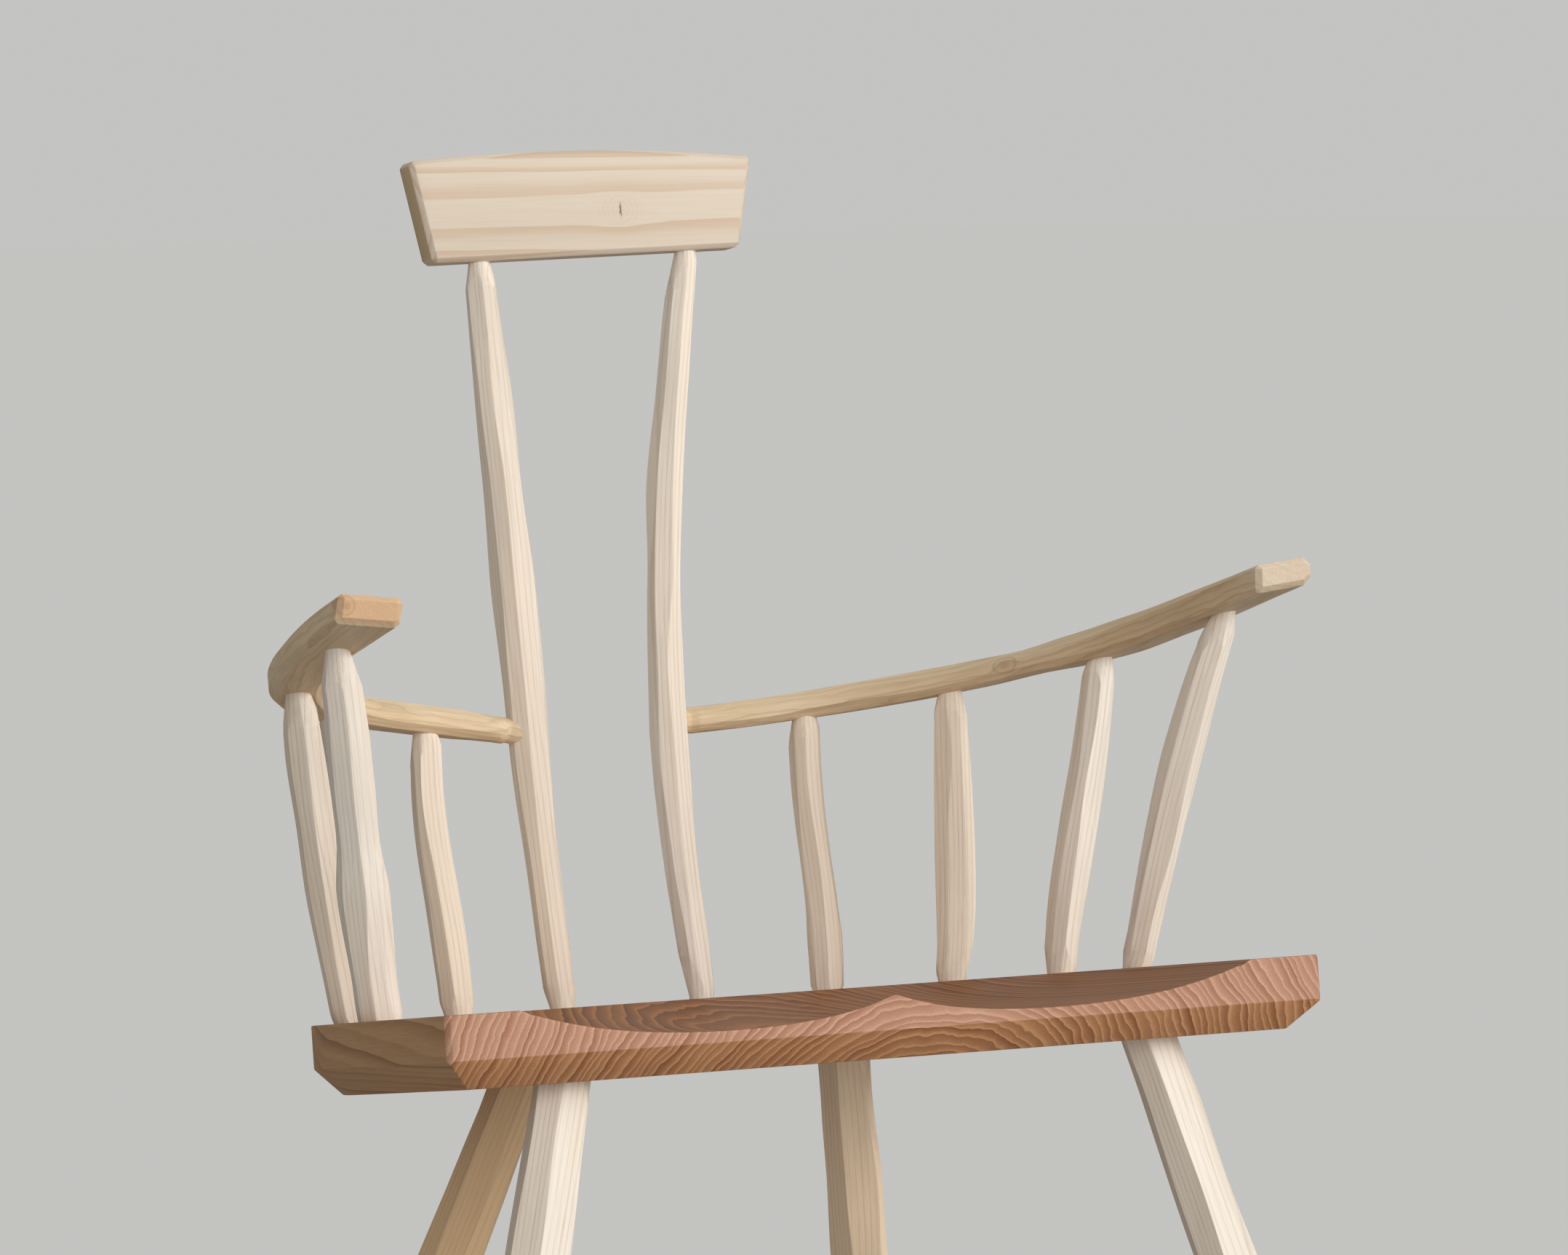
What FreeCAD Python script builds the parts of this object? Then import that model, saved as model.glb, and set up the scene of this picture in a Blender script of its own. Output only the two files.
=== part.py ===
import FreeCAD, Part
import math
import os
from collections import namedtuple

from FreeCAD import Vector

# Stick chair: a saddled plank seat on four raked legs, two back posts under a crest rail, and two
# naturally bent arms, each tenoned into a post and carried by four whittled sticks.
# Millimetres and degrees. +Z is up, the front faces -Y, and left and right are as seen from the front.
# Places on the chair's upper part are measured on the tilted seat plane: across from the middle,
# back from the front edge, and up at right angles to the plane.

# Seat plank
seat_width = 580.0
seat_depth = 435.0
seat_thickness = 44.0
seat_side_taper = 2.8
seat_corner_radius = 222.0
seat_back_radius = 400.0
seat_lower_bevel = 17.0
seat_front_height = 430.0
seat_tilt = 7.9

# Saddle carved in the seat: a bowl open to the front, parted there by the ridge of a pommel
bowl_depth = 22.5
bowl_side_inset = 47.0
bowl_back_inset = 85.0
bowl_middle_back = 60.0
pommel_rise = 16.5
pommel_spread = 42.0
pommel_length = 170.0

# Round joints: tenon diameters, mortise depths and the room left for glue
leg_tenon = 28.0
stick_foot_tenon = 16.0
stick_top_tenon = 14.0
post_foot_tenon = 16.0
post_top_tenon = 14.0
arm_tenon = 12.7
leg_mortise_depth = 22.0
stick_mortise_depth = 28.0
post_mortise_depth = 32.0
crest_mortise_depth = 34.0
arm_tenon_past_post_axis = 4.0
joint_clearance = 0.1
mortise_bottom_gap = 0.5
stick_shoulder_angle = 12.0
leg_shoulder_angle = 25.0
arm_shoulder_angle = 40.0
shoulder_gap = 1.0
arm_shoulder_gap = 2.0

# Wedges driven into the stick tenons that show through the arms
stick_wedge_depth = 12.0
stick_wedge_thickness = 2.6
wedge_tip_share = 0.3
wedge_clearance = 0.05

# Legs: where each axis meets the seat's underside, how it leans from plumb, and how far each leg's
# flats stand out from its tenon at the shoulder and where the leg is thickest
front_leg_side_inset = 94.0
front_leg_back = 55.0
front_leg_splay = 15.2
front_leg_rake = -12.0
rear_leg_side_inset = 177.0
rear_leg_back_inset = 116.0
rear_leg_splay = 14.6
rear_leg_rake = 22.4
leg_swell_place = 0.5
LEG_SHOULDERS = {"front_left": 2.5, "front_right": 1.0, "rear_left": 1.75, "rear_right": 1.25}
LEG_SWELLS = {"front_left": 5.25, "front_right": 3.75, "rear_left": 5.25, "rear_right": 4.5}

# Back posts
post_foot_across = 49.0
post_back_inset = 40.0
post_top_across = 73.0
post_lean_forward = 4.0
post_shoulder = 1.25

# Crest rail
crest_height_above_seat = 485.0
crest_height = 63.0
crest_top_length = 242.0
crest_bottom_length = 217.0
crest_arch = 5.5
crest_slope = 3.0
crest_thickness = 22.0
crest_bevel = 3.0

# Arm sticks from the post to the hand: insets of the foot from the seat's edges, the lean of the top,
# and the arm's axis height and section over the stick
STICKS = [
    {"side_inset": 160.0, "back_inset": 62.0, "lean_out": 4.0, "lean_back": 16.0,
     "arm_height": 188.0, "arm_width": 25.0, "arm_thickness": 17.5},
    {"side_inset": 90.0, "back_inset": 104.0, "lean_out": 17.0, "lean_back": 7.0,
     "arm_height": 197.5, "arm_width": 29.0, "arm_thickness": 17.5},
    {"side_inset": 44.0, "back_inset": 167.0, "lean_out": 32.0, "lean_back": -32.0,
     "arm_height": 211.0, "arm_width": 33.0, "arm_thickness": 18.5},
    {"side_inset": 32.0, "back_inset": 250.0, "lean_out": 43.0, "lean_back": -80.0,
     "arm_height": 229.0, "arm_width": 38.0, "arm_thickness": 18.0},
]
stick_shoulder = 1.0

# Arms: the rest of the axis, past the sticks to the hand, and the sections at both ends
arm_joint_height = 178.5
arm_hand_height = 238.0
arm_hand_out = 4.0
arm_hand_forward = 67.0
arm_shoulder = 2.15
arm_hand_width = 40.0
arm_hand_thickness = 16.5
arm_edge_bevel = 5.0
arm_lift = {"left": 1.5, "right": -1.5}

# How each whittled piece grew: thickest width across its flats, the share of its length where that
# is, its bow towards +X, and its double bend
Growth = namedtuple("Growth", "swell swell_place bow double_bend")
GROWTH = {
    "left_back_post": Growth(26.6, 0.57, -1.6, -1.0),
    "right_back_post": Growth(21.6, 0.40, -20.0, -0.3),
    "left_arm_stick_1": Growth(20.5, 0.37, -2.8, 1.6),
    "left_arm_stick_2": Growth(23.0, 0.45, 1.5, -1.0),
    "left_arm_stick_3": Growth(23.6, 0.70, -2.6, -0.2),
    "left_arm_stick_4": Growth(25.0, 0.38, -0.4, -0.6),
    "right_arm_stick_1": Growth(20.2, 0.35, -0.5, 1.6),
    "right_arm_stick_2": Growth(25.2, 0.35, 2.2, 0.5),
    "right_arm_stick_3": Growth(23.4, 0.35, 0.0, -1.4),
    "right_arm_stick_4": Growth(24.2, 0.51, -4.9, 0.3),
}
whittle_steps = 6

# Length of the blocks and drills that cut a piece, past anything that they have to clear
cutter_reach = 200.0

# Where a stick's axis meets a surface, that surface's normal, the tenon and how deep it goes
Socket = namedtuple("Socket", "mouth normal tenon depth")

UP = Vector(0, 0, 1)
ACROSS = Vector(1, 0, 0)
MIRROR = {"left": -1, "right": 1}
tilt = math.radians(seat_tilt)
SEAT_BACK = Vector(0, math.cos(tilt), -math.sin(tilt))
SEAT_UP = Vector(0, math.sin(tilt), math.cos(tilt))
octagon_corner_share = 1 - math.tan(math.pi / 8)
bowl_half_width = seat_width / 2 - bowl_side_inset
bowl_half_length = seat_depth - bowl_back_inset - bowl_middle_back
post_foot_back = seat_depth - post_back_inset
post_top_back = post_foot_back - post_lean_forward
post_end_width = max(post_foot_tenon, post_top_tenon) + 2 * post_shoulder
stick_end_width = max(stick_foot_tenon, stick_top_tenon) + 2 * stick_shoulder
arm_post_width = arm_tenon + 2 * arm_shoulder

# Each pair of legs: across, back, splay and rake of the leg on the right
LEGS = {
    "front": (seat_width / 2 - front_leg_side_inset, front_leg_back, front_leg_splay, front_leg_rake),
    "rear": (seat_width / 2 - rear_leg_side_inset, seat_depth - rear_leg_back_inset,
             rear_leg_splay, rear_leg_rake),
}


def foot_reach(back, rake):
    """Distance behind the seat's front edge at which a leg's axis meets the floor."""
    joint = SEAT_BACK * back - SEAT_UP * seat_thickness
    return joint.y + (seat_front_height + joint.z) * math.tan(math.radians(rake))


# The origin lies on the floor, midway between the front feet and the rear feet
reaches = [foot_reach(back, rake) for across, back, splay, rake in LEGS.values()]
SEAT_ORIGIN = Vector(0, -sum(reaches) / len(reaches), seat_front_height)


def on_seat(across, back, up=0.0):
    """Point of the chair at a place measured on the tilted seat plane."""
    return SEAT_ORIGIN + ACROSS * across + SEAT_BACK * back + SEAT_UP * up


def to_seat_plane(shape):
    """Set a shape drawn flat, with its front edge on the X axis, onto the tilted seat plane."""
    shape.Placement = FreeCAD.Placement(SEAT_ORIGIN, FreeCAD.Rotation(ACROSS, -seat_tilt))
    return shape


def square_to(axis, direction):
    """Unit vector nearest to direction that is square to axis."""
    return (direction - axis * direction.dot(axis)).normalize()


def closed_face(points):
    """Flat face with straight edges between points."""
    return Part.Face(Part.makePolygon(points + points[:1]))


def bevelled_section(centre, side, top, width, thickness, bevel):
    """Eight-sided outline: a rectangle across side and top with its four corners cut off."""
    a = width / 2
    b = thickness / 2
    corners = [(a, bevel - b), (a, b - bevel), (a - bevel, b), (bevel - a, b),
               (-a, b - bevel), (-a, bevel - b), (bevel - a, -b), (a - bevel, -b)]
    points = [centre + side * across + top * up for across, up in corners]
    return Part.makePolygon(points + points[:1])


def octagon(centre, side, top, width):
    """Regular octagon of a given width across its flats."""
    return bevelled_section(centre, side, top, width, width, width / 2 * octagon_corner_share)


def half_space(point, outward):
    """Block that holds everything near a point on the outward side of a plane through it."""
    corner = Vector(-cutter_reach / 2, -cutter_reach / 2, 0)
    block = Part.makeBox(cutter_reach, cutter_reach, cutter_reach, corner)
    block.Placement = FreeCAD.Placement(point, FreeCAD.Rotation(UP, outward))
    return block


def tenon_cutter(shoulder, outward, tenon, blank_radius, shoulder_angle):
    """Ring that shaves a blank's end to a round tenon below a cone-shaped shoulder."""
    radius = tenon / 2
    run = (blank_radius - radius) / math.tan(math.radians(shoulder_angle))
    ring = closed_face([Vector(radius, 0, 0), Vector(blank_radius, 0, -run),
                        Vector(blank_radius, 0, cutter_reach), Vector(radius, 0, cutter_reach)])
    ring = ring.revolve(Vector(), UP, 360)
    ring.Placement = FreeCAD.Placement(shoulder, FreeCAD.Rotation(UP, outward))
    return ring


def shoulder_distance(axis, normal, tenon):
    """Distance from a surface at which a leaning tenon is clear of it all round."""
    upright = abs(axis.dot(normal))
    return tenon / 2 * math.sqrt(1 - upright ** 2) / upright + shoulder_gap


def mortise(bottom, outward, tenon):
    """Round hole for a tenon, from its bottom out past its mouth."""
    return Part.makeCylinder(tenon / 2 + joint_clearance, cutter_reach, bottom, outward)


def bend_at(share, growth):
    """Sideways offset of a crooked stick at a share of its length."""
    return growth.bow * math.sin(math.pi * share) + growth.double_bend * math.sin(2 * math.pi * share)


def whittled_blank(foot, top, spare, end_width, growth):
    """Crooked eight-sided stick from foot to top, with a straight spare length at both ends."""
    axis = (top - foot).normalize()
    side = square_to(axis, ACROSS)
    front = axis.cross(side)
    skew = math.log(0.5) / math.log(growth.swell_place)
    sections = [octagon(foot - axis * spare, side, front, end_width)]
    for step in range(whittle_steps + 1):
        share = step / whittle_steps
        width = end_width + (growth.swell - end_width) * math.sin(math.pi * share ** skew)
        centre = foot + (top - foot) * share + side * bend_at(share, growth)
        sections.append(octagon(centre, side, front, width))
    sections.append(octagon(top + axis * spare, side, front, end_width))
    return Part.makeLoft(sections, True)


def whittled_stick(foot, top, end_width, growth):
    """Whittled stick between two sockets, with a round tenon for each of them."""
    axis = (top.mouth - foot.mouth).normalize()
    blank_radius = growth.swell + abs(growth.bow) + abs(growth.double_bend)
    stick = whittled_blank(foot.mouth, top.mouth, foot.depth + top.depth, end_width, growth)
    for socket, outward in ((foot, axis * -1), (top, axis)):
        shoulder = socket.mouth - outward * shoulder_distance(axis, socket.normal, socket.tenon)
        cutter = tenon_cutter(shoulder, outward, socket.tenon, blank_radius, stick_shoulder_angle)
        stick = stick.cut(cutter)
        stick = stick.cut(half_space(socket.mouth + outward * socket.depth, outward))
    return stick


def wedge_prism(end, inward, along, tenon, depth, thickness, clearance=0.0):
    """Tapered wedge across a tenon's end, thickest outside; a clearance widens it into its slot."""
    across = inward.cross(along)
    tip = thickness * wedge_tip_share / 2 + clearance
    taper = thickness * (1 - wedge_tip_share) / 2 / depth
    stand_out = tenon / 2
    head = tip + taper * (depth + stand_out)
    outer = end - along * tenon - inward * stand_out
    inner = end - along * tenon + inward * depth
    side = closed_face([outer + across * head, outer - across * head,
                        inner - across * tip, inner + across * tip])
    return side.extrude(along * (2 * tenon))


def seat_outline():
    """Seat outline: straight front, tapered sides, round rear corners and a bowed back."""
    taper = math.radians(seat_side_taper)
    along = Vector(-math.sin(taper), math.cos(taper), 0)
    inward = Vector(-math.cos(taper), -math.sin(taper), 0)
    front_corner = Vector(seat_width / 2, 0, 0)
    back_centre = Vector(0, seat_depth - seat_back_radius, 0)
    # A rear corner's centre lies one radius in from the side, and its circle touches the back's inside
    start = front_corner + inward * seat_corner_radius - back_centre
    reach = seat_back_radius - seat_corner_radius
    half = start.dot(along)
    run = math.sqrt(half ** 2 - start.dot(start) + reach ** 2) - half
    corner_centre = back_centre + start + along * run
    side_end = corner_centre - inward * seat_corner_radius
    outward = (corner_centre - back_centre).normalize()
    corner_middle = corner_centre + (outward - inward).normalize() * seat_corner_radius
    back_start = back_centre + outward * seat_back_radius
    back_middle = Vector(0, seat_depth, 0)

    def mirrored(point):
        return Vector(-point.x, point.y, 0)

    edges = [
        Part.LineSegment(mirrored(front_corner), front_corner),
        Part.LineSegment(front_corner, side_end),
        Part.Arc(side_end, corner_middle, back_start),
        Part.Arc(back_start, back_middle, mirrored(back_start)),
        Part.Arc(mirrored(back_start), mirrored(corner_middle), mirrored(side_end)),
        Part.LineSegment(mirrored(side_end), mirrored(front_corner)),
    ]
    return Part.Wire([edge.toShape() for edge in edges])


def seat_plank():
    """Seat with its lower edge bevelled all round, before it is carved and bored."""
    plank = Part.Face(seat_outline()).extrude(UP * -seat_thickness)
    lower_edges = [edge for edge in plank.Edges if edge.BoundBox.ZMax < -seat_thickness / 2]
    return to_seat_plane(plank.makeChamfer(seat_lower_bevel, lower_edges))


def saddle_height(across, back):
    """Height of the carved seat against its top plane: below it in the bowl, above it outside."""
    bowl = 1 - (across / bowl_half_width) ** 4 - ((back - bowl_middle_back) / bowl_half_length) ** 4
    fade = max(0.0, 1 - back / pommel_length) ** 2
    pommel = pommel_rise * fade * math.exp(-abs(across) / pommel_spread)
    return pommel - bowl_depth * bowl


def saddle_waste(mirror):
    """Wood above one half of the carved surface, which runs past the bowl's rim and the seat's front."""
    columns = 10
    rows = 11
    past_rim = 1.07
    past_front = 55.0
    first_back = -past_front
    last_back = bowl_middle_back + bowl_half_length * past_rim
    grid = []
    for column in range(columns):
        across = mirror * bowl_half_width * past_rim * column / (columns - 1)
        backs = [first_back + (last_back - first_back) * row / (rows - 1) for row in range(rows)]
        grid.append([Vector(across, back, saddle_height(across, back)) for back in backs])
    surface = Part.BSplineSurface()
    surface.interpolate(grid)
    return to_seat_plane(surface.toShape().extrude(UP * cutter_reach))


def crest_underside(across):
    """Height of the crest rail's lower edge, which falls a little to the left."""
    return crest_height_above_seat + crest_slope * across / (crest_bottom_length / 2)


def crest_board():
    """Crest rail: a flat board with sloped ends and an arched top, in line with the posts."""
    half_top = crest_top_length / 2
    half_bottom = crest_bottom_length / 2
    front = post_top_back - crest_thickness / 2
    top = crest_height_above_seat + crest_height
    lower_left = on_seat(-half_bottom, front, crest_underside(-half_bottom))
    lower_right = on_seat(half_bottom, front, crest_underside(half_bottom))
    upper_right = on_seat(half_top, front, top)
    upper_middle = on_seat(0, front, top + crest_arch)
    upper_left = on_seat(-half_top, front, top)
    edges = [
        Part.LineSegment(lower_left, lower_right),
        Part.LineSegment(lower_right, upper_right),
        Part.Arc(upper_right, upper_middle, upper_left),
        Part.LineSegment(upper_left, lower_left),
    ]
    outline = Part.Wire([edge.toShape() for edge in edges])
    board = Part.Face(outline).extrude(SEAT_BACK * crest_thickness)
    return board.makeChamfer(crest_bevel, board.Edges)


def arm_axis_points(side, post_foot, post_top):
    """Points on an arm's axis: on its post, over each stick in turn, and at the hand."""
    mirror = MIRROR[side]
    share = arm_joint_height / crest_height_above_seat
    bend = bend_at(share, GROWTH[side + "_back_post"])
    post_side = square_to((post_top - post_foot).normalize(), ACROSS)
    points = [post_foot + (post_top - post_foot) * share + post_side * bend]
    for stick in STICKS:
        across = seat_width / 2 - stick["side_inset"] + stick["lean_out"]
        back = seat_depth - stick["back_inset"] + stick["lean_back"]
        points.append(on_seat(mirror * across, back, stick["arm_height"] + arm_lift[side]))
    hand_up = arm_hand_height + arm_lift[side]
    points.append(on_seat(mirror * (across + arm_hand_out), back - arm_hand_forward, hand_up))
    return points


def arm_frame(curve, place):
    """Centre, side and top directions of an arm's section at a place on its axis."""
    along = curve.tangent(place)[0]
    top = square_to(along, SEAT_UP)
    return curve.value(place), along.cross(top), top


def arm_blank(curve, places):
    """Bent arm, slim at the post and broad and flat at the hand, before its tenon and mortises."""
    sizes = [(arm_post_width, arm_post_width)]
    sizes += [(stick["arm_width"], stick["arm_thickness"]) for stick in STICKS]
    sizes.append((arm_hand_width, arm_hand_thickness))
    centre, side, top = arm_frame(curve, places[0])
    inner_end = centre - curve.tangent(places[0])[0] * arm_tenon_past_post_axis
    sections = [octagon(inner_end, side, top, arm_post_width)]
    for step in range(2 * len(places) - 1):
        before = step // 2
        after = (step + 1) // 2
        width = (sizes[before][0] + sizes[after][0]) / 2
        thickness = (sizes[before][1] + sizes[after][1]) / 2
        bevel = min(arm_edge_bevel, thickness / 2 * octagon_corner_share)
        frame = arm_frame(curve, (places[before] + places[after]) / 2)
        sections.append(bevelled_section(*frame, width, thickness, bevel))
    return Part.makeLoft(sections, True)


def save(shape, node):
    """Write one piece, which has to be a single valid solid."""
    if len(shape.Solids) != 1 or not shape.isValid():
        raise ValueError(node + " isn't one valid solid")
    shape.Solids[0].exportStep("parts/" + node + ".step")


os.makedirs("parts", exist_ok=True)
seat = seat_plank()
for mirror in MIRROR.values():
    seat = seat.cut(saddle_waste(mirror))
crest = crest_board()

# Legs: whittled octagons with blind round tenons in the seat's underside
for end, (across, back, splay, rake) in LEGS.items():
    for side, mirror in MIRROR.items():
        node = end + "_" + side
        joint = on_seat(mirror * across, back, -seat_thickness)
        lean = Vector(mirror * math.tan(math.radians(splay)), math.tan(math.radians(rake)), -1)
        down = lean.normalize()
        upward = down * -1
        floor_point = joint + down * (joint.z / upward.z)
        end_width = leg_tenon + 2 * LEG_SHOULDERS[node]
        swell = leg_tenon + 2 * LEG_SWELLS[node]
        leg = whittled_blank(floor_point + down * swell, joint, 2 * seat_thickness, end_width,
                             Growth(swell, leg_swell_place, 0.0, 0.0))
        shoulder = joint + down * shoulder_distance(down, SEAT_UP, leg_tenon)
        leg = leg.cut(tenon_cutter(shoulder, upward, leg_tenon, swell, leg_shoulder_angle))
        leg = leg.cut(half_space(joint + upward * (leg_mortise_depth - mortise_bottom_gap), upward))
        seat = seat.cut(mortise(joint + upward * leg_mortise_depth, down, leg_tenon))
        save(leg.cut(half_space(floor_point, UP * -1)), node + "_leg")

for side, mirror in MIRROR.items():
    # Back post: tenoned into the seat and the crest rail
    foot = on_seat(mirror * post_foot_across, post_foot_back)
    top = on_seat(mirror * post_top_across, post_top_back, crest_underside(mirror * post_top_across))
    up_post = (top - foot).normalize()
    in_seat = Socket(foot, SEAT_UP, post_foot_tenon, post_mortise_depth - mortise_bottom_gap)
    in_crest = Socket(top, SEAT_UP, post_top_tenon, crest_mortise_depth - mortise_bottom_gap)
    post = whittled_stick(in_seat, in_crest, post_end_width, GROWTH[side + "_back_post"])
    seat = seat.cut(mortise(foot - up_post * post_mortise_depth, up_post, post_foot_tenon))
    crest = crest.cut(mortise(top + up_post * crest_mortise_depth, up_post * -1, post_top_tenon))

    # Arm: a bent limb with a round tenon in the side of the post
    axis_points = arm_axis_points(side, foot, top)
    curve = Part.BSplineCurve()
    curve.interpolate(axis_points)
    places = [curve.parameter(point) for point in axis_points]
    out_of_post = curve.tangent(places[0])[0]
    beside_post = axis_points[0] + out_of_post * (GROWTH[side + "_back_post"].swell / 2 + arm_shoulder_gap)
    cutter = tenon_cutter(beside_post, out_of_post * -1, arm_tenon, arm_post_width, arm_shoulder_angle)
    arm = arm_blank(curve, places).cut(cutter)
    tenon_bottom = axis_points[0] - out_of_post * (arm_tenon_past_post_axis + mortise_bottom_gap)
    save(post.cut(mortise(tenon_bottom, out_of_post, arm_tenon)), side + "_back_post")

    # Arm sticks: blind tenons in the seat, and wedged tenons through the arm, pared flush
    for number, stick in enumerate(STICKS, 1):
        node = side + "_arm_stick_" + str(number)
        foot = on_seat(mirror * (seat_width / 2 - stick["side_inset"]), seat_depth - stick["back_inset"])
        centre, arm_side, arm_top = arm_frame(curve, places[number])
        up_stick = (centre - foot).normalize()
        half_arm = stick["arm_thickness"] / 2 / up_stick.dot(arm_top)
        underside = centre - up_stick * half_arm
        tenon_end = centre + up_stick * half_arm
        under_arm = shoulder_distance(up_stick, arm_top, stick_top_tenon)
        in_seat = Socket(foot, SEAT_UP, stick_foot_tenon, stick_mortise_depth - mortise_bottom_gap)
        in_arm = Socket(underside, arm_top, stick_top_tenon, 2 * half_arm + under_arm)
        piece = whittled_stick(in_seat, in_arm, stick_end_width, GROWTH[node])
        slot = (tenon_end, up_stick * -1, square_to(up_stick, arm_side), stick_top_tenon,
                stick_wedge_depth, stick_wedge_thickness)
        core = Part.makeCylinder(stick_top_tenon / 2, cutter_reach, underside, up_stick)
        proud = half_space(tenon_end, arm_top)
        seat = seat.cut(mortise(foot - up_stick * stick_mortise_depth, up_stick, stick_foot_tenon))
        arm = arm.cut(mortise(underside - up_stick * under_arm, up_stick, stick_top_tenon))
        save(piece.cut(proud).cut(wedge_prism(*slot, wedge_clearance)), node)
        save(wedge_prism(*slot).common(core).cut(proud), node + "_wedge")
    save(arm, side + "_arm")

save(crest, "crest_rail")
save(seat, "seat")
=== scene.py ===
import math
import random

import bmesh
import bpy
import numpy as np
from mathutils import Euler, Matrix, Vector


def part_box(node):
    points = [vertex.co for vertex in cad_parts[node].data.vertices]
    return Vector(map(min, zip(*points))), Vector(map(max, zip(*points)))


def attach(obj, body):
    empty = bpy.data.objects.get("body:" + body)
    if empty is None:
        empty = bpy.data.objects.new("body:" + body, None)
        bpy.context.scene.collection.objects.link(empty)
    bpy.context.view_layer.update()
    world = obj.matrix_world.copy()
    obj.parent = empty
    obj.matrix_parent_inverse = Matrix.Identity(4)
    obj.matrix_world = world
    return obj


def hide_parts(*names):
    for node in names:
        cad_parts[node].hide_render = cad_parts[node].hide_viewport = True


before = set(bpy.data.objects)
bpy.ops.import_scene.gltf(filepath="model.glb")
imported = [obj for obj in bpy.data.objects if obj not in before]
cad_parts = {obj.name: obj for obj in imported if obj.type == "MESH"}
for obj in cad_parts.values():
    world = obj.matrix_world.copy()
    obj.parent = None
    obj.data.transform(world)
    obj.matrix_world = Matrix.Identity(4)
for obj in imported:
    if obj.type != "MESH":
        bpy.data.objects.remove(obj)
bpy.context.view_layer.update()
bpy.ops.object.select_all(action="DESELECT")


# Seat: one thick softwood plank, sawn to a horseshoe outline with its grain from front to back.
# Its lower edge is bevelled all round, and its top is carved to a saddle with a ridged pommel in front.
# Blind round mortises are bored in it, from below for the legs and from above for posts and sticks.
seat_depth = 0.435
seat_thickness = 0.044
seat_side_taper = math.radians(2.8)
seat_corner_radius = 0.222
seat_corner_steps = 28
seat_back_radius = 0.400
seat_back_steps = 10
seat_lower_bevel = 0.017
seat_corner_chamfer = 0.0032
seat_edge_round = 0.0009
seat_edge_angle = math.radians(25)
seat_crisp_angle = math.radians(14)
seat_tilt = math.radians(7.9)
bowl_depth = 0.0225
bowl_half_width = 0.243
bowl_half_length = 0.290
bowl_middle_back = 0.060
bowl_squareness = 4
pommel_rise = 0.0165
pommel_spread = 0.042
pommel_length = 0.170
pommel_round = 0.0015
saddle_front_round = 0.0009
leg_tenon = 0.028
foot_tenon = 0.016
leg_mortise_depth = 0.022
stick_mortise_depth = 0.028
post_mortise_depth = 0.032
bore_clearance = 0.0001
drill_sides = 64
hair = 0.0001
off_edge = 0.001
touching = 0.000004

# Depths of the slices of a CAD piece's end in which its middle is found, finer each time
end_slice = 0.0002
end_slices = (0.002, 0.0006, end_slice, end_slice)

LEGS = ["front_left_leg", "front_right_leg", "rear_left_leg", "rear_right_leg"]
POSTS = ["left_back_post", "right_back_post"]
STICKS = [side + "_arm_stick_" + str(number) for side in ("left", "right") for number in (1, 2, 3, 4)]

seat_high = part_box("seat")[1]
seat_half_width = seat_high.x
seat_front = Vector((0, seat_high.y - seat_depth * math.cos(seat_tilt), seat_high.z))
seat_place = Matrix.Translation(seat_front) @ Matrix.Rotation(-seat_tilt, 4, "X")
SEAT_UP = seat_place.to_3x3() @ Vector((0, 0, 1))


def on_seat(across, back, up=0.0):
    """Point of the chair at a place measured on the tilted seat plane."""
    return seat_place @ Vector((across, back, up))


def named(name):
    """The primitive that was just added, under its own name and with its place in its mesh."""
    piece = bpy.context.object
    piece.name = name
    piece.data.name = name
    bpy.ops.object.transform_apply(location=True, rotation=True, scale=True)
    return piece


def open_up(piece):
    """Take up one piece by itself, with its whole mesh selected in edit mode."""
    bpy.ops.object.select_all(action="DESELECT")
    piece.select_set(True)
    bpy.context.view_layer.objects.active = piece
    bpy.ops.object.mode_set(mode="EDIT")
    bpy.ops.mesh.select_all(action="SELECT")


def pick(kind, test):
    """Select in edit mode just the vertices, edges or faces that pass a test."""
    bpy.ops.mesh.select_mode(type={"verts": "VERT", "edges": "EDGE", "faces": "FACE"}[kind])
    bpy.ops.mesh.select_all(action="DESELECT")
    mesh = bpy.context.object.data
    shape = bmesh.from_edit_mesh(mesh)
    for part in getattr(shape, kind):
        if test(part):
            part.select_set(True)
    shape.select_flush_mode()
    bmesh.update_edit_mesh(mesh)


def face_outwards():
    """Turn every face of the open mesh outwards."""
    bpy.ops.mesh.select_all(action="SELECT")
    bpy.ops.mesh.normals_make_consistent(inside=False)


def apply_modifier(piece, kind, **settings):
    """Put a modifier on a piece with its settings and apply it at once."""
    step = piece.modifiers.new(kind.title(), kind)
    for name, value in settings.items():
        setattr(step, name, value)
    bpy.context.view_layer.objects.active = piece
    bpy.ops.object.modifier_apply(modifier=step.name)


def round_edges(piece, width, angle):
    """Round every edge of a piece that is sharper than an angle."""
    apply_modifier(piece, "BEVEL", width=width, segments=2, limit_method="ANGLE", angle_limit=angle)


def cut_with(piece, tool, operation="DIFFERENCE"):
    """Cut a tool's shape out of a piece, or keep just what lies inside it, and put the tool away."""
    apply_modifier(piece, "BOOLEAN", object=tool, operation=operation, solver="EXACT")
    mesh = tool.data
    bpy.data.objects.remove(tool)
    bpy.data.meshes.remove(mesh)


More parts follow.
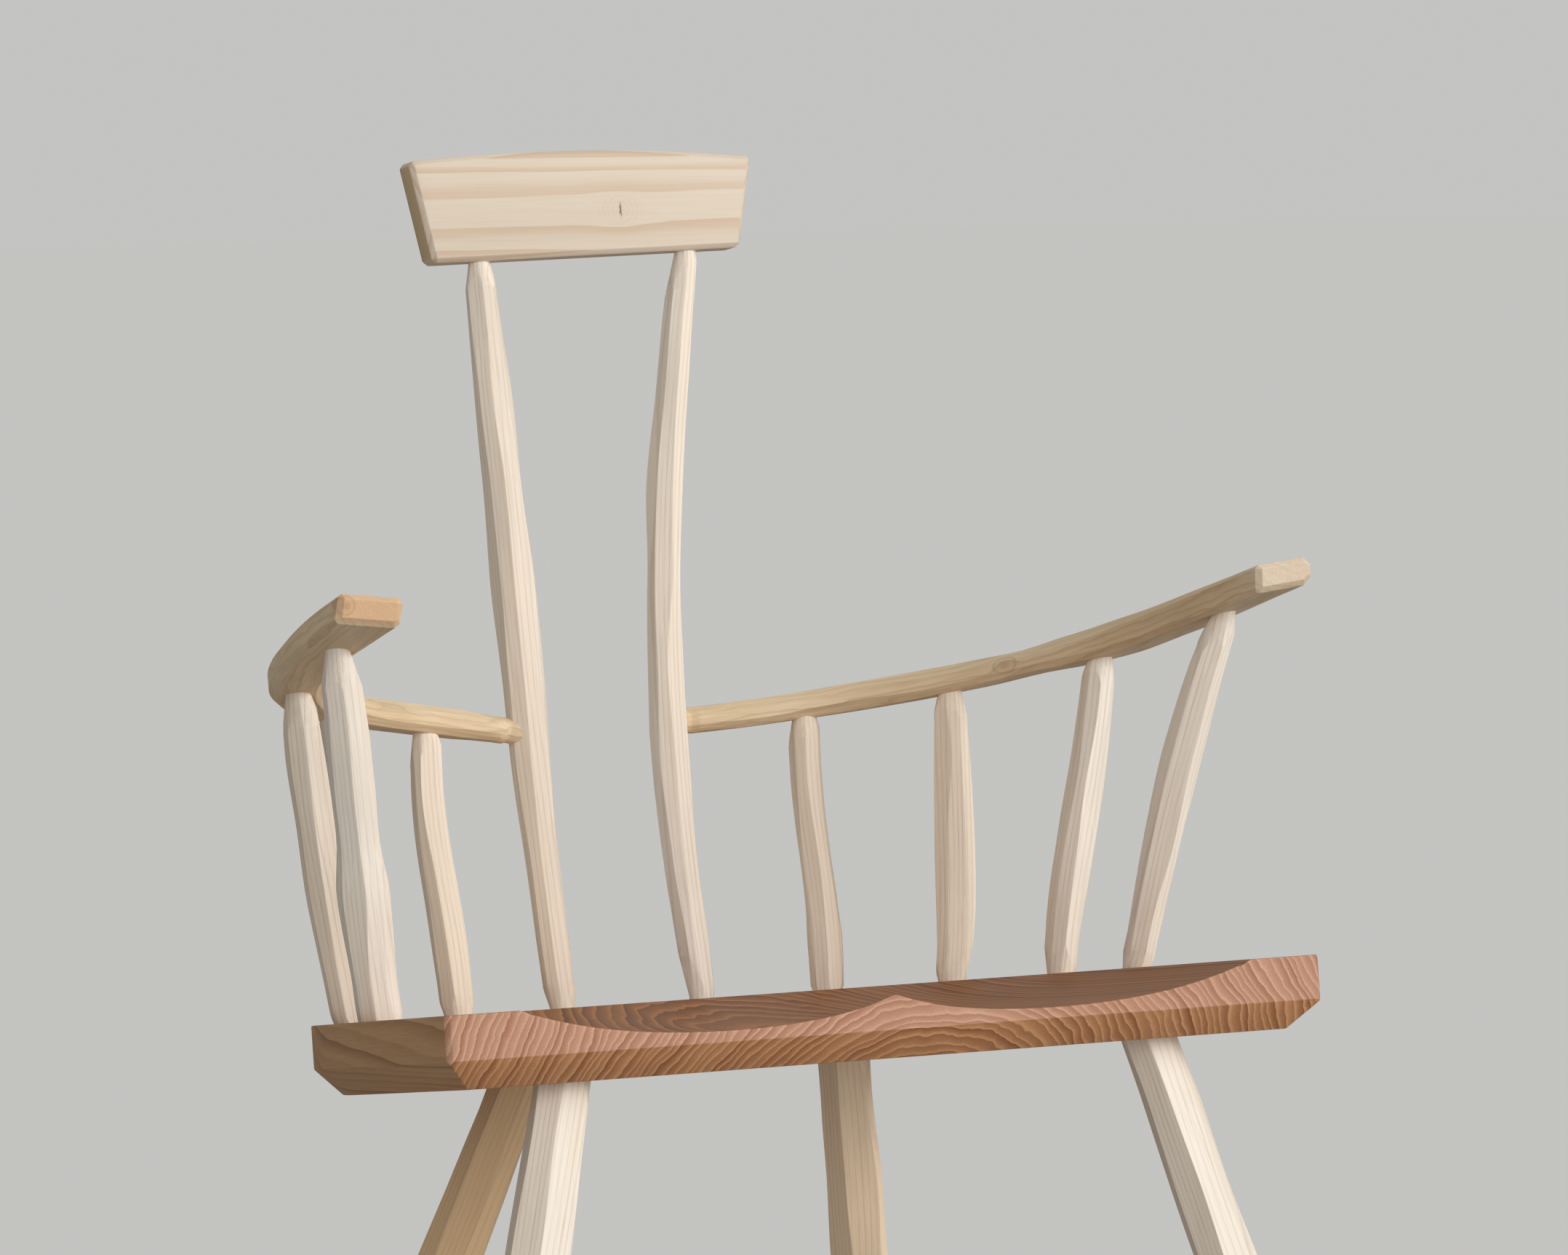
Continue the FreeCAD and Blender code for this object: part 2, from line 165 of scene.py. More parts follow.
def bore(piece, holes):
    """Bore round holes, each with a bottom, a direction out of it, a length and a diameter."""
    bpy.ops.object.select_all(action="DESELECT")
    drills = []
    for bottom, outward, length, diameter in holes:
        turn = outward.to_track_quat("Z", "Y").to_euler()
        bpy.ops.mesh.primitive_cylinder_add(vertices=drill_sides, radius=diameter / 2, depth=length,
                                            location=bottom + outward * (length / 2), rotation=turn)
        drills.append(named("drill"))
    for drill in drills:
        drill.select_set(True)
    bpy.ops.object.join()
    cut_with(piece, bpy.context.object)


def smooth_by_angle(piece, angle):
    """Shade a piece smooth, with every edge sharper than an angle left crisp."""
    open_up(piece)
    bpy.ops.mesh.remove_doubles(threshold=touching)
    bpy.ops.mesh.normals_make_consistent(inside=False)
    bpy.ops.object.mode_set(mode="OBJECT")
    bpy.ops.object.shade_smooth_by_angle(angle=angle)


def hand_over(piece, material, slot, *nodes):
    """Finish a piece: its material, the body it rides on, and the CAD nodes it stands for."""
    piece.data.materials.clear()
    piece.data.materials.append(material)
    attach(piece, "root")
    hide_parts(*nodes)


def points_of(mesh):
    """Corner points of a mesh, in metres."""
    points = np.empty(3 * len(mesh.vertices))
    mesh.vertices.foreach_get("co", points)
    return points.reshape(-1, 3)


def corner_points(node):
    """Corner points of a CAD piece."""
    return points_of(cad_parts[node].data)


def end_middle(points, direction, depth=end_slice):
    """Middle of the end of a cloud of points that lies furthest in a direction."""
    reach = points @ np.array(direction)
    end = points[reach > reach.max() - depth]
    return Vector((end.min(axis=0) + end.max(axis=0)) / 2)


def limb_axis(node):
    """Foot and direction of a straight-bored limb, read from its CAD piece and its wedge."""
    points = corner_points(node)
    wedge = corner_points(node + "_wedge") if node + "_wedge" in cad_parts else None
    down = Vector((0, 0, -1))
    foot = end_middle(points, down, end_slices[0])
    axis = end_middle(points, -down, end_slices[0]) - foot
    for depth in end_slices:
        axis.normalize()
        foot = end_middle(points, down if node in LEGS else -axis, depth)
        head = end_middle(points, axis, depth) if wedge is None else end_middle(wedge, -axis, depth)
        axis = head - foot
    return foot, axis.normalized()


# The outline's half: a straight front and side, then a round rear corner and the bowed back
along_side = Vector((-math.sin(seat_side_taper), math.cos(seat_side_taper), 0))
into_seat = Vector((-math.cos(seat_side_taper), -math.sin(seat_side_taper), 0))
back_centre = Vector((0, seat_depth - seat_back_radius, 0))
first_centre = Vector((seat_half_width, 0, 0)) + into_seat * seat_corner_radius - back_centre
half_run = first_centre.dot(along_side)
corner_reach = seat_back_radius - seat_corner_radius
side_run = math.sqrt(half_run ** 2 - first_centre.length_squared + corner_reach ** 2) - half_run
corner_centre = back_centre + first_centre + along_side * side_run
side_end = corner_centre - into_seat * seat_corner_radius
corner_out = (corner_centre - back_centre).normalized()
corner_sweep = corner_out.angle(-into_seat)
back_sweep = corner_out.angle(Vector((0, 1, 0)))

bpy.ops.mesh.primitive_plane_add(size=1, location=(0.5, 0.5, 0))
seat = named("seat_plank")
open_up(seat)
bpy.ops.transform.resize(value=(seat_half_width, side_end.y, 1), center_override=(0, 0, 0))
pick("verts", lambda v: v.co.x > off_edge and v.co.y > off_edge)
bpy.ops.transform.translate(value=(side_end.x - seat_half_width, 0, 0))
bpy.ops.mesh.spin(steps=seat_corner_steps, angle=-corner_sweep, center=corner_centre, axis=(0, 0, 1))
bpy.ops.mesh.spin(steps=seat_back_steps, angle=-back_sweep, center=back_centre, axis=(0, 0, 1))
pick("verts", lambda v: v.co.x < hair and v.co.y > off_edge)
bpy.ops.mesh.edge_face_add()
pick("edges", lambda e: min(v.co.y for v in e.verts) > side_end.y - hair)
bpy.ops.mesh.edge_face_add()
pick("faces", lambda f: True)
bpy.ops.mesh.dissolve_faces()
bpy.ops.object.mode_set(mode="OBJECT")
apply_modifier(seat, "MIRROR", use_axis=(True, False, False), merge_threshold=2 * hair)

# The plank's thickness, its lower bevel, and the small chamfers of its front corners
bpy.ops.object.mode_set(mode="EDIT")
pick("faces", lambda f: True)
bpy.ops.mesh.dissolve_faces()
pick("faces", lambda f: True)
bpy.ops.mesh.extrude_region_move(TRANSFORM_OT_translate={"value": (0, 0, -seat_thickness)})
face_outwards()
pick("edges", lambda e: max(v.co.z for v in e.verts) < -seat_thickness + off_edge)
bpy.ops.mesh.bevel(offset=seat_lower_bevel, segments=1)
for hand in (-1, 1):
    chamfer_place = (hand * (seat_half_width - seat_corner_chamfer), 0, 0)
    bpy.ops.mesh.select_all(action="SELECT")
    bpy.ops.mesh.bisect(plane_co=chamfer_place, plane_no=(hand, -1, 0), use_fill=True, clear_outer=True)
bpy.ops.object.mode_set(mode="OBJECT")
round_edges(seat, seat_edge_round, seat_edge_angle)


def saddle_height(across, back):
    """Height of the carved seat against its top plane: below it in the bowl, above it outside."""
    aside = (across / bowl_half_width) ** bowl_squareness
    behind = ((back - bowl_middle_back) / bowl_half_length) ** bowl_squareness
    fade = max(0.0, 1 - back / pommel_length) ** 2
    from_ridge = math.hypot(across, pommel_round) - pommel_round
    pommel = pommel_rise * fade * math.exp(-from_ridge / pommel_spread)
    return pommel - bowl_depth * (1 - aside - behind)


# The saddle's waste: a grid, finest at the pommel, drawn down to the carved surface and raised to a block
waste_margin = 1.07
waste_front = -0.055
waste_height = 0.1
waste_columns = 110
waste_rows = 88
waste_fineness = 1.4
waste_half_width = waste_margin * bowl_half_width
waste_back = bowl_middle_back + waste_margin * bowl_half_length
bpy.ops.mesh.primitive_grid_add(x_subdivisions=waste_columns, y_subdivisions=waste_rows, size=1)
saddle_waste = named("saddle_waste")
open_up(saddle_waste)
bpy.ops.transform.resize(value=(2 * waste_half_width, waste_back - waste_front, 1))
bpy.ops.transform.translate(value=(0, (waste_back + waste_front) / 2, 0))
bpy.ops.object.mode_set(mode="OBJECT")
for vertex in saddle_waste.data.vertices:
    share = vertex.co.x / waste_half_width
    vertex.co.x = waste_half_width * math.copysign(abs(share) ** waste_fineness, share)
    vertex.co.z = saddle_height(vertex.co.x, vertex.co.y)
open_up(saddle_waste)
bpy.ops.mesh.extrude_region_move(TRANSFORM_OT_translate={"value": (0, 0, waste_height)})
face_outwards()
bpy.ops.object.mode_set(mode="OBJECT")
cut_with(seat, saddle_waste)

# The edge where the carved saddle runs out through the seat's front is eased
front_reach = 0.00001
shallowest_edge = 0.0012
carving_reach = 0.0003


def on_saddle_front(vertex):
    """True on the edge where the carved saddle runs out through the seat's front."""
    x, y, z = vertex.co
    return abs(y) < front_reach and z < -shallowest_edge and abs(z - saddle_height(x, 0)) < carving_reach


bpy.context.view_layer.objects.active = seat
bpy.ops.object.mode_set(mode="EDIT")
pick("edges", lambda e: all(on_saddle_front(v) for v in e.verts))
bpy.ops.mesh.bevel(offset=saddle_front_round, segments=2)
bpy.ops.object.mode_set(mode="OBJECT")
seat.data.transform(seat_place)

AXES = {node: limb_axis(node) for node in LEGS + POSTS + STICKS}
mortises = []
for node, (foot, axis) in AXES.items():
    if node in LEGS:
        underside = foot + axis * ((on_seat(0, 0, -seat_thickness) - foot).dot(SEAT_UP) / axis.dot(SEAT_UP))
        bottom = underside + axis * leg_mortise_depth
        mortises.append((bottom, -axis, 2 * leg_mortise_depth, leg_tenon + 2 * bore_clearance))
    else:
        mouth = foot + axis * ((seat_front - foot).dot(SEAT_UP) / axis.dot(SEAT_UP))
        depth = post_mortise_depth if node in POSTS else stick_mortise_depth
        mortises.append((mouth - axis * depth, axis, 2 * depth, foot_tenon + 2 * bore_clearance))
bore(seat, mortises)
smooth_by_angle(seat, seat_crisp_angle)


def add_node(tree, kind, inputs, **settings):
    """Shader node with its settings, whose inputs are values or other nodes' sockets."""
    node = tree.nodes.new("ShaderNode" + kind)
    for name, value in settings.items():
        setattr(node, name, value)
    for name, value in inputs.items():
        if isinstance(value, bpy.types.NodeSocket):
            tree.links.new(value, node.inputs[name])
        else:
            node.inputs[name].default_value = value
    return node


def maths(tree, operation, *values):
    """Result of a sum on numbers and sockets."""
    return add_node(tree, "Math", dict(enumerate(values)), operation=operation).outputs[0]


def vectors(tree, operation, *values):
    """Result of a sum on vectors: a number for a length or a dot product, or else a vector."""
    outputs = add_node(tree, "VectorMath", dict(enumerate(values)), operation=operation).outputs
    return outputs["Value" if operation in ("LENGTH", "DOT_PRODUCT") else "Vector"]


def noise(tree, place, scale, detail):
    """Soft noise of a scale at a place."""
    return add_node(tree, "TexNoise", {"Vector": place, "Scale": scale, "Detail": detail}).outputs["Fac"]


def ramp(tree, factor, stops):
    """Grey value that follows a factor through the stops of a ramp."""
    node = add_node(tree, "ValToRGB", {"Fac": factor})
    points = node.color_ramp.elements
    while len(points) < len(stops):
        points.new(0.5)
    for point, (place, grey) in zip(points, stops):
        point.position = place
        point.color = (grey, grey, grey, 1)
    return node.outputs["Color"]


def tinted(tree, factor, first, second):
    """Colour between two colours. A Mix node has its colours on inputs 6 and 7 and on output 2."""
    return add_node(tree, "Mix", {0: factor, 6: first, 7: second}, data_type="RGBA").outputs[2]


def layered(tree, colour, layers):
    """Colour with others laid over it in turn, each through its own mask."""
    for mask, over in layers:
        colour = tinted(tree, mask, colour, over)
    return colour


def summed(tree, base, *terms):
    """Base value with a share of each of some other values added."""
    for value, share in terms:
        base = maths(tree, "MULTIPLY_ADD", value, share, base)
    return base


def new_group(name, inputs, outputs):
    """Empty node group with named sockets, and its ends."""
    group = bpy.data.node_groups.new(name, "ShaderNodeTree")
    for socket, kind in inputs.items():
        group.interface.new_socket(socket, in_out="INPUT", socket_type="NodeSocket" + kind)
    for socket in outputs:
        group.interface.new_socket(socket, in_out="OUTPUT", socket_type="NodeSocketFloat")
    return group, group.nodes.new("NodeGroupInput").outputs, group.nodes.new("NodeGroupOutput").inputs


def use_group(tree, group, inputs):
    """Outputs of a node group placed in a material with its own values."""
    return add_node(tree, "Group", inputs, node_tree=group).outputs


def srgb(red, green, blue):
    """Colour as a paint chart gives it, from 0 to 255, in the shader's own scale."""
    linear = [((c / 255 + 0.055) / 1.055) ** 2.4 for c in (red, green, blue)]
    return (*linear, 1)


# Growth rings: years round a pith on the Z axis, with fibres and slow changes of shade along it,
# which part round a knot
sway_share = 2.0
ripple_share = 1.15
knot_parting = 0.85
knot_stretch = (1, 1, 0.6)
fibre_stretch = (1, 1, 0.018)
across_grain = (1, 1, 0)
rings_group, place, result = new_group(
    "growth_rings",
    {"Place": "Vector", "Along": "Float", "Ring Width": "Float", "Waver": "Float", "Uneven": "Float",
     "Knot": "Vector", "Knot Size": "Float"},
    ["Ring", "Year", "Fibre", "Shade", "Knot"])
tree = rings_group
along_grain = add_node(tree, "CombineXYZ", {"X": 1, "Y": 1, "Z": place["Along"]}).outputs[0]
stretched = vectors(tree, "MULTIPLY", place["Place"], along_grain)
sway = maths(tree, "SUBTRACT", noise(tree, stretched, scale=13, detail=2), 0.5)
ripple = maths(tree, "SUBTRACT", noise(tree, stretched, scale=62, detail=3), 0.5)
radius = vectors(tree, "LENGTH", vectors(tree, "MULTIPLY", place["Place"], across_grain))
bent = summed(tree, 0, (sway, sway_share), (ripple, ripple_share))
radius = summed(tree, radius, (bent, place["Waver"]))
from_knot = vectors(tree, "SUBTRACT", place["Place"], place["Knot"])
from_knot = vectors(tree, "LENGTH", vectors(tree, "MULTIPLY", from_knot, knot_stretch))
from_knot = maths(tree, "DIVIDE", from_knot, place["Knot Size"])
knot = maths(tree, "EXPONENT", maths(tree, "MULTIPLY", maths(tree, "MULTIPLY", from_knot, from_knot), -1))
tree.links.new(knot, result["Knot"])
knot_radius = vectors(tree, "LENGTH", vectors(tree, "MULTIPLY", place["Knot"], across_grain))
parted = maths(tree, "MULTIPLY", maths(tree, "SUBTRACT", knot_radius, radius), knot)
radius = summed(tree, radius, (parted, knot_parting))
uneven = add_node(tree, "TexNoise", {"W": radius, "Scale": 60, "Detail": 1}, noise_dimensions="1D")
years = maths(tree, "DIVIDE", radius, place["Ring Width"])
years = summed(tree, years, (uneven.outputs["Fac"], place["Uneven"]))
tree.links.new(maths(tree, "FRACT", years), result["Ring"])
year = add_node(tree, "TexWhiteNoise", {"W": maths(tree, "FLOOR", years)}, noise_dimensions="1D")
tree.links.new(year.outputs["Value"], result["Year"])
long_fibre = vectors(tree, "MULTIPLY", place["Place"], fibre_stretch)
fibre = add_node(tree, "TexNoise", {"Vector": long_fibre, "Scale": 900, "Detail": 3, "Roughness": 0.6})
tree.links.new(fibre.outputs["Fac"], result["Fibre"])
tree.links.new(noise(tree, stretched, scale=34, detail=3), result["Shade"])

# Edge wear: a mask along edges that hands and clothes have rubbed, broken up by a fine noise
wear_gain = 5
wear_group, place, result = new_group("edge_wear", {"Place": "Vector", "Reach": "Float"}, ["Wear"])
tree = wear_group
rounded = add_node(tree, "Bevel", {"Radius": place["Reach"]}, samples=6).outputs["Normal"]
facing = vectors(tree, "DOT_PRODUCT", rounded, add_node(tree, "NewGeometry", {}).outputs["Normal"])
turned = maths(tree, "MULTIPLY", maths(tree, "SUBTRACT", 1, facing), wear_gain)
patchy = ramp(tree, noise(tree, place["Place"], scale=160, detail=3), [(0.32, 0.25), (0.62, 1)])
tree.links.new(maths(tree, "MULTIPLY", turned, patchy), result["Wear"])

# Cut marks: the shallow hollows that a drawknife or a travisher leaves along the grain
mark_stretch = (1, 1, 0.16)
marks_group, place, result = new_group("cut_marks", {"Place": "Vector", "Breadth": "Float"}, ["Height"])
tree = marks_group
drawn_out = vectors(tree, "MULTIPLY", place["Place"], mark_stretch)
scaled = add_node(tree, "VectorMath", {0: drawn_out, "Scale": maths(tree, "DIVIDE", 1, place["Breadth"])},
                  operation="SCALE").outputs["Vector"]
hollow = add_node(tree, "TexVoronoi", {"Vector": scaled, "Scale": 1, "Smoothness": 0.6},
                  feature="SMOOTH_F1")
tree.links.new(hollow.outputs["Distance"], result["Height"])


def new_material(name):
    """Empty material, its node tree and its shader."""
    material = bpy.data.materials.new(name)
    material.use_nodes = True
    tree = material.node_tree
    shader = tree.nodes["Principled BSDF"]
    return material, tree, shader


def object_place(tree):
    """Places on a piece, in the chair's own frame."""
    return add_node(tree, "TexCoord", {}).outputs["Object"]


def place_from(tree, coords, place, turn):
    """Places measured from one place, along axes that are turned."""
    return add_node(tree, "Mapping", {"Vector": coords, "Location": place, "Rotation": turn},
                    vector_type="TEXTURE").outputs["Vector"]


def worn_edges(tree, coords, reach, share):
    """Mask of the worn edges, which reach some way in, at a share of its strength."""
    wear = use_group(tree, wear_group, {"Place": coords, "Reach": reach})["Wear"]
    return maths(tree, "MULTIPLY", wear, share)


def cut_marks(tree, grain, breadth):
    """Height of the marks that a blade has left along the grain."""
    return use_group(tree, marks_group, {"Place": grain, "Breadth": breadth})["Height"]


def set_finish(tree, shader, colour, roughness, height, bump_distance, shine=0.35):
    """Link a wood's colour, its roughness and the height of its surface to the shader."""
    tree.links.new(colour, shader.inputs["Base Color"])
    tree.links.new(roughness, shader.inputs["Roughness"])
    bump = add_node(tree, "Bump", {"Height": height, "Strength": 1.0, "Distance": bump_distance})
    tree.links.new(bump.outputs["Normal"], shader.inputs["Normal"])
    shader.inputs["Specular IOR Level"].default_value = shine


def in_grain(point, pith, turn):
    """Place of a point in the coordinates of a log whose pith lies along Z."""
    return Euler(turn).to_matrix().transposed() @ (point - pith)


# Softwood of the seat: broad reddish years, parted by thin pale lines of early wood. The planed front is
# chalky and pale; the bevel below it is painted darker and richer and the saddle painted a darker brown,
# as painted shade on faces that turn away from the low light.
front_early_wood = srgb(217, 174, 148)
front_late_wood = srgb(158, 105, 80)
# Painted shade: the lower bevel's colours are darker, for the less light that reaches its downward faces
shaded_bevel_early_wood = srgb(217, 163, 117)
shaded_bevel_late_wood = srgb(130, 77, 48)
side_early_wood = srgb(200, 162, 122)
side_late_wood = srgb(132, 96, 64)
# Painted shade: the saddle's colours are darker browns, for the low light that only grazes its top
shaded_saddle_early_wood = srgb(181, 130, 89)
shaded_saddle_late_wood = srgb(88, 52, 29)
seat_fibre_colour = srgb(120, 76, 50)
seat_shade_colour = srgb(170, 112, 80)
seat_worn_wood = srgb(224, 184, 158)
seat_knot_wood = srgb(110, 62, 38)
straight_grain = 0.07
seat_pith = on_seat(0.028, 0, -0.150)
seat_pith_turn = (-math.pi / 2 - seat_tilt, math.radians(0.6), 0)
seat_knot_place = on_seat(0.206, 0, -0.036)
seat_knot = in_grain(seat_knot_place, seat_pith, seat_pith_turn)
late_thinning = 2.5
side_without_front = -0.6
seat_wood, tree, shader = new_material("seat_softwood")
coords = object_place(tree)
grain = place_from(tree, coords, seat_pith, seat_pith_turn)
rings = use_group(tree, rings_group, {
    "Place": grain, "Along": straight_grain, "Ring Width": 0.0048, "Waver": 0.0058, "Uneven": 1.2,
    "Knot": seat_knot, "Knot Size": 0.005})
late = ramp(tree, rings["Ring"], [(0.0, 0.0), (0.12, 0.06), (0.3, 0.5), (0.6, 0.78), (0.92, 1), (1.0, 0.0)])
late = maths(tree, "MULTIPLY", late, summed(tree, 0.5, (rings["Year"], 0.5)))
thin_late = maths(tree, "POWER", late, late_thinning)
facing = add_node(tree, "NewGeometry", {}).outputs["Normal"]
upward = vectors(tree, "DOT_PRODUCT", facing, SEAT_UP)
# Masks of the upward and downward faces, which take the darker colours of painted shade
painted_shade_above = ramp(tree, upward, [(0.35, 0), (0.8, 1)])
painted_shade_below = ramp(tree, maths(tree, "MULTIPLY", upward, -1), [(0.25, 0), (0.6, 1)])
facing_parts = add_node(tree, "SeparateXYZ", {"Vector": facing}).outputs
aside = summed(tree, maths(tree, "ABSOLUTE", facing_parts["X"]),
               (maths(tree, "ABSOLUTE", facing_parts["Y"]), side_without_front))
on_side = ramp(tree, aside, [(0.45, 0), (0.62, 1)])
colour = layered(tree, front_early_wood, [
    (late, front_late_wood),
    (painted_shade_below, tinted(tree, late, shaded_bevel_early_wood, shaded_bevel_late_wood)),
    (on_side, tinted(tree, thin_late, side_early_wood, side_late_wood)),
    (painted_shade_above, tinted(tree, late, shaded_saddle_early_wood, shaded_saddle_late_wood)),
    (ramp(tree, rings["Fibre"], [(0.3, 0.2), (0.7, 0)]), seat_fibre_colour),
    (ramp(tree, rings["Shade"], [(0.35, 0.2), (0.7, 0)]), seat_shade_colour),
    (ramp(tree, rings["Knot"], [(0.5, 0), (0.9, 0.7)]), seat_knot_wood),
    (worn_edges(tree, coords, reach=0.0022, share=0.5), seat_worn_wood)])
marks = cut_marks(tree, grain, breadth=0.02)
roughness = summed(tree, 0.5, (rings["Fibre"], 0.2), (late, -0.12))
height = summed(tree, 0, (rings["Fibre"], 0.35), (late, 0.25), (marks, 0.5))
set_finish(tree, shader, colour, roughness, height, bump_distance=0.0004, shine=0.1)
hand_over(seat, seat_wood, "seat_wood", "seat")


# Legs: cleft from a pale ring-porous log, tapered both ways with a drawknife in seven rough flats
# and shaved below the seat to a short shoulder and a round tenon, which is glued in its blind mortise.
# Each foot is sawn level with the floor and its edge is chamfered.
limb_flats = 7
flat_wander = 0.22
flat_depth = 0.985
leg_flats_uneven = 0.065
deepest_arris = 0.97
arris_round = 0.0005
arris_angle = math.radians(20)
limb_crisp_angle = math.radians(30)
knife_stroke = 0.07
fewest_strokes = 4
ring_spacing = 0.009
blank_overrun = 0.04
widest_limb = 0.03
below_floor = 0.03
pared_waste = 0.02
shoulder_angle = math.radians(12)
shoulder_cuts = 8
shoulder_share = 2.2
tenon_corners = 56
leg_collar = 0.0306
collar_depth = 0.011
collar_start = 0.9
leg_foot_chamfer = 0.0018
leg_foot_shrink = 0.92

# How a CAD limb is read: its cuts, and the stretches in which its tenons end
limb_cuts = 24
cut_margin = 0.02
cut_reach = 0.06
fewest_cut_points = 6
end_margin = 0.01
foot_search = 0.07
top_search = 0.12
tenon_room = 0.00004

# Where in its log a limb was cleft: the pith lies beside the flats that face the front left,
# so that these show the years as straight lines
cleft_side = math.radians(24.5)
cleft_spread = 0.5
pith_distances = (0.05, 0.11)
log_length = 3


def square_to(axis, direction):
    """Unit vector nearest to a direction that is square to an axis."""
    return (direction - axis * direction.dot(axis)).normalized()


def clamped(value):
    """Value kept between nothing and one."""
    return min(1.0, max(0.0, value))


def triangles_of(node):
    """Corner points of every triangle of a CAD piece."""
    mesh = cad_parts[node].data
    corners = np.empty(len(mesh.loops), int)
    mesh.loops.foreach_get("vertex_index", corners)
    return corner_points(node)[corners].reshape(-1, 3, 3)


def cut_points(triangles, place, axis):
    """Points in which a plane square to an axis cuts the triangles near a place."""
    heights = (triangles - np.array(place)) @ np.array(axis)
    found = []
    for first, second in ((0, 1), (1, 2), (2, 0)):
        a = heights[:, first]
        b = heights[:, second]
        crossed = a * b < 0
        share = (a[crossed] / (a[crossed] - b[crossed]))[:, None]
        found.append(triangles[crossed, first] * (1 - share) + triangles[crossed, second] * share)
    points = np.concatenate(found)
    near = np.linalg.norm(points - np.array(place), axis=1) < cut_reach
    return points[near]


def section(triangles, place, axis, side, front):
    """Middle of a cut, and its sizes along side and front."""
    points = cut_points(triangles, place, axis)
    if len(points) < fewest_cut_points:
        return None
    along_side = points @ np.array(side)
    along_front = points @ np.array(front)
    shift_side = (along_side.max() + along_side.min()) / 2 - place.dot(side)
    shift_front = (along_front.max() + along_front.min()) / 2 - place.dot(front)
    middle = place + side * shift_side + front * shift_front
    return middle, np.ptp(along_side), np.ptp(along_front)


def ring_stack(name, rings):
    """Solid through a row of rings: a cylinder cut into lengths, with each ring drawn to its place."""
    lengths = len(rings) - 1
    sides = len(rings[0])
    bpy.ops.mesh.primitive_cylinder_add(vertices=sides, radius=1, depth=lengths, end_fill_type="NGON",
                                        location=(0, 0, lengths / 2))
    piece = named(name)
    bpy.ops.object.mode_set(mode="EDIT")
    pick("edges", lambda e: abs(e.verts[0].co.z - e.verts[1].co.z) > 0.5)
    bpy.ops.mesh.subdivide(number_cuts=lengths - 1)
    bpy.ops.object.mode_set(mode="OBJECT")
    for vertex in piece.data.vertices:
        turn = math.atan2(vertex.co.y, vertex.co.x) - math.pi / 2
        corner = round(turn * sides / (2 * math.pi)) % sides
        vertex.co = rings[round(vertex.co.z)][corner]
    return piece


def eased(values, share):
    """Value at a share of the way along a row of values, with soft changes between them."""
    place = share * (len(values) - 1)
    before = min(int(place), len(values) - 2)
    step = place - before
    step = step * step * (3 - 2 * step)
    return values[before] * (1 - step) + values[before + 1] * step


def whittled_ring(middle, side, front, half_width, flats, share):
    """Corners of a hand-cut section, where each flat has its own direction and depth.

    A flat never lies so far out that the two beside it would meet before they reach it.
    """
    rough = [(eased(turns, share), eased(depths, share) * half_width) for turns, depths in flats]
    lines = []
    for number, (turn, depth) in enumerate(rough):
        last_turn, last_depth = rough[number - 1]
        next_turn, next_depth = rough[(number + 1) % len(rough)]
        peak = last_depth * math.sin(next_turn - turn) + next_depth * math.sin(turn - last_turn)
        lines.append((turn, min(depth, deepest_arris * peak / math.sin(next_turn - last_turn))))
    corners = []
    for number, (turn, depth) in enumerate(lines):
        next_turn, next_depth = lines[(number + 1) % len(lines)]
        spread = math.sin(next_turn - turn)
        x = (depth * math.sin(next_turn) - next_depth * math.sin(turn)) / spread
        y = (next_depth * math.cos(turn) - depth * math.cos(next_turn)) / spread
        corners.append(middle + side * x + front * y)
    return corners


def shaved_ring(middle, side, front, radius, cuts):
    """Corners of a round tenon, or of a shoulder shaved to it with some flat cuts."""
    ring = []
    for number in range(tenon_corners):
        turn = 2 * math.pi * number / tenon_corners
        out = radius
        if cuts:
            out = radius / math.cos(turn % (2 * math.pi / cuts) - math.pi / cuts)
        ring.append(middle + side * (out * math.cos(turn)) + front * (out * math.sin(turn)))
    return ring


def tenon_shoulder(points, foot, axis, tenon, low, high):
    """Distances from the foot between which a round tenon's own corner points lie."""
    away = points - np.array(foot)
    along = away @ np.array(axis)
    out = np.linalg.norm(away - np.outer(along, np.array(axis)), axis=1)
    on_tenon = along[(abs(out - tenon / 2) < tenon_room) & (along > low) & (along < high)]
    return on_tenon.min(), on_tenon.max()


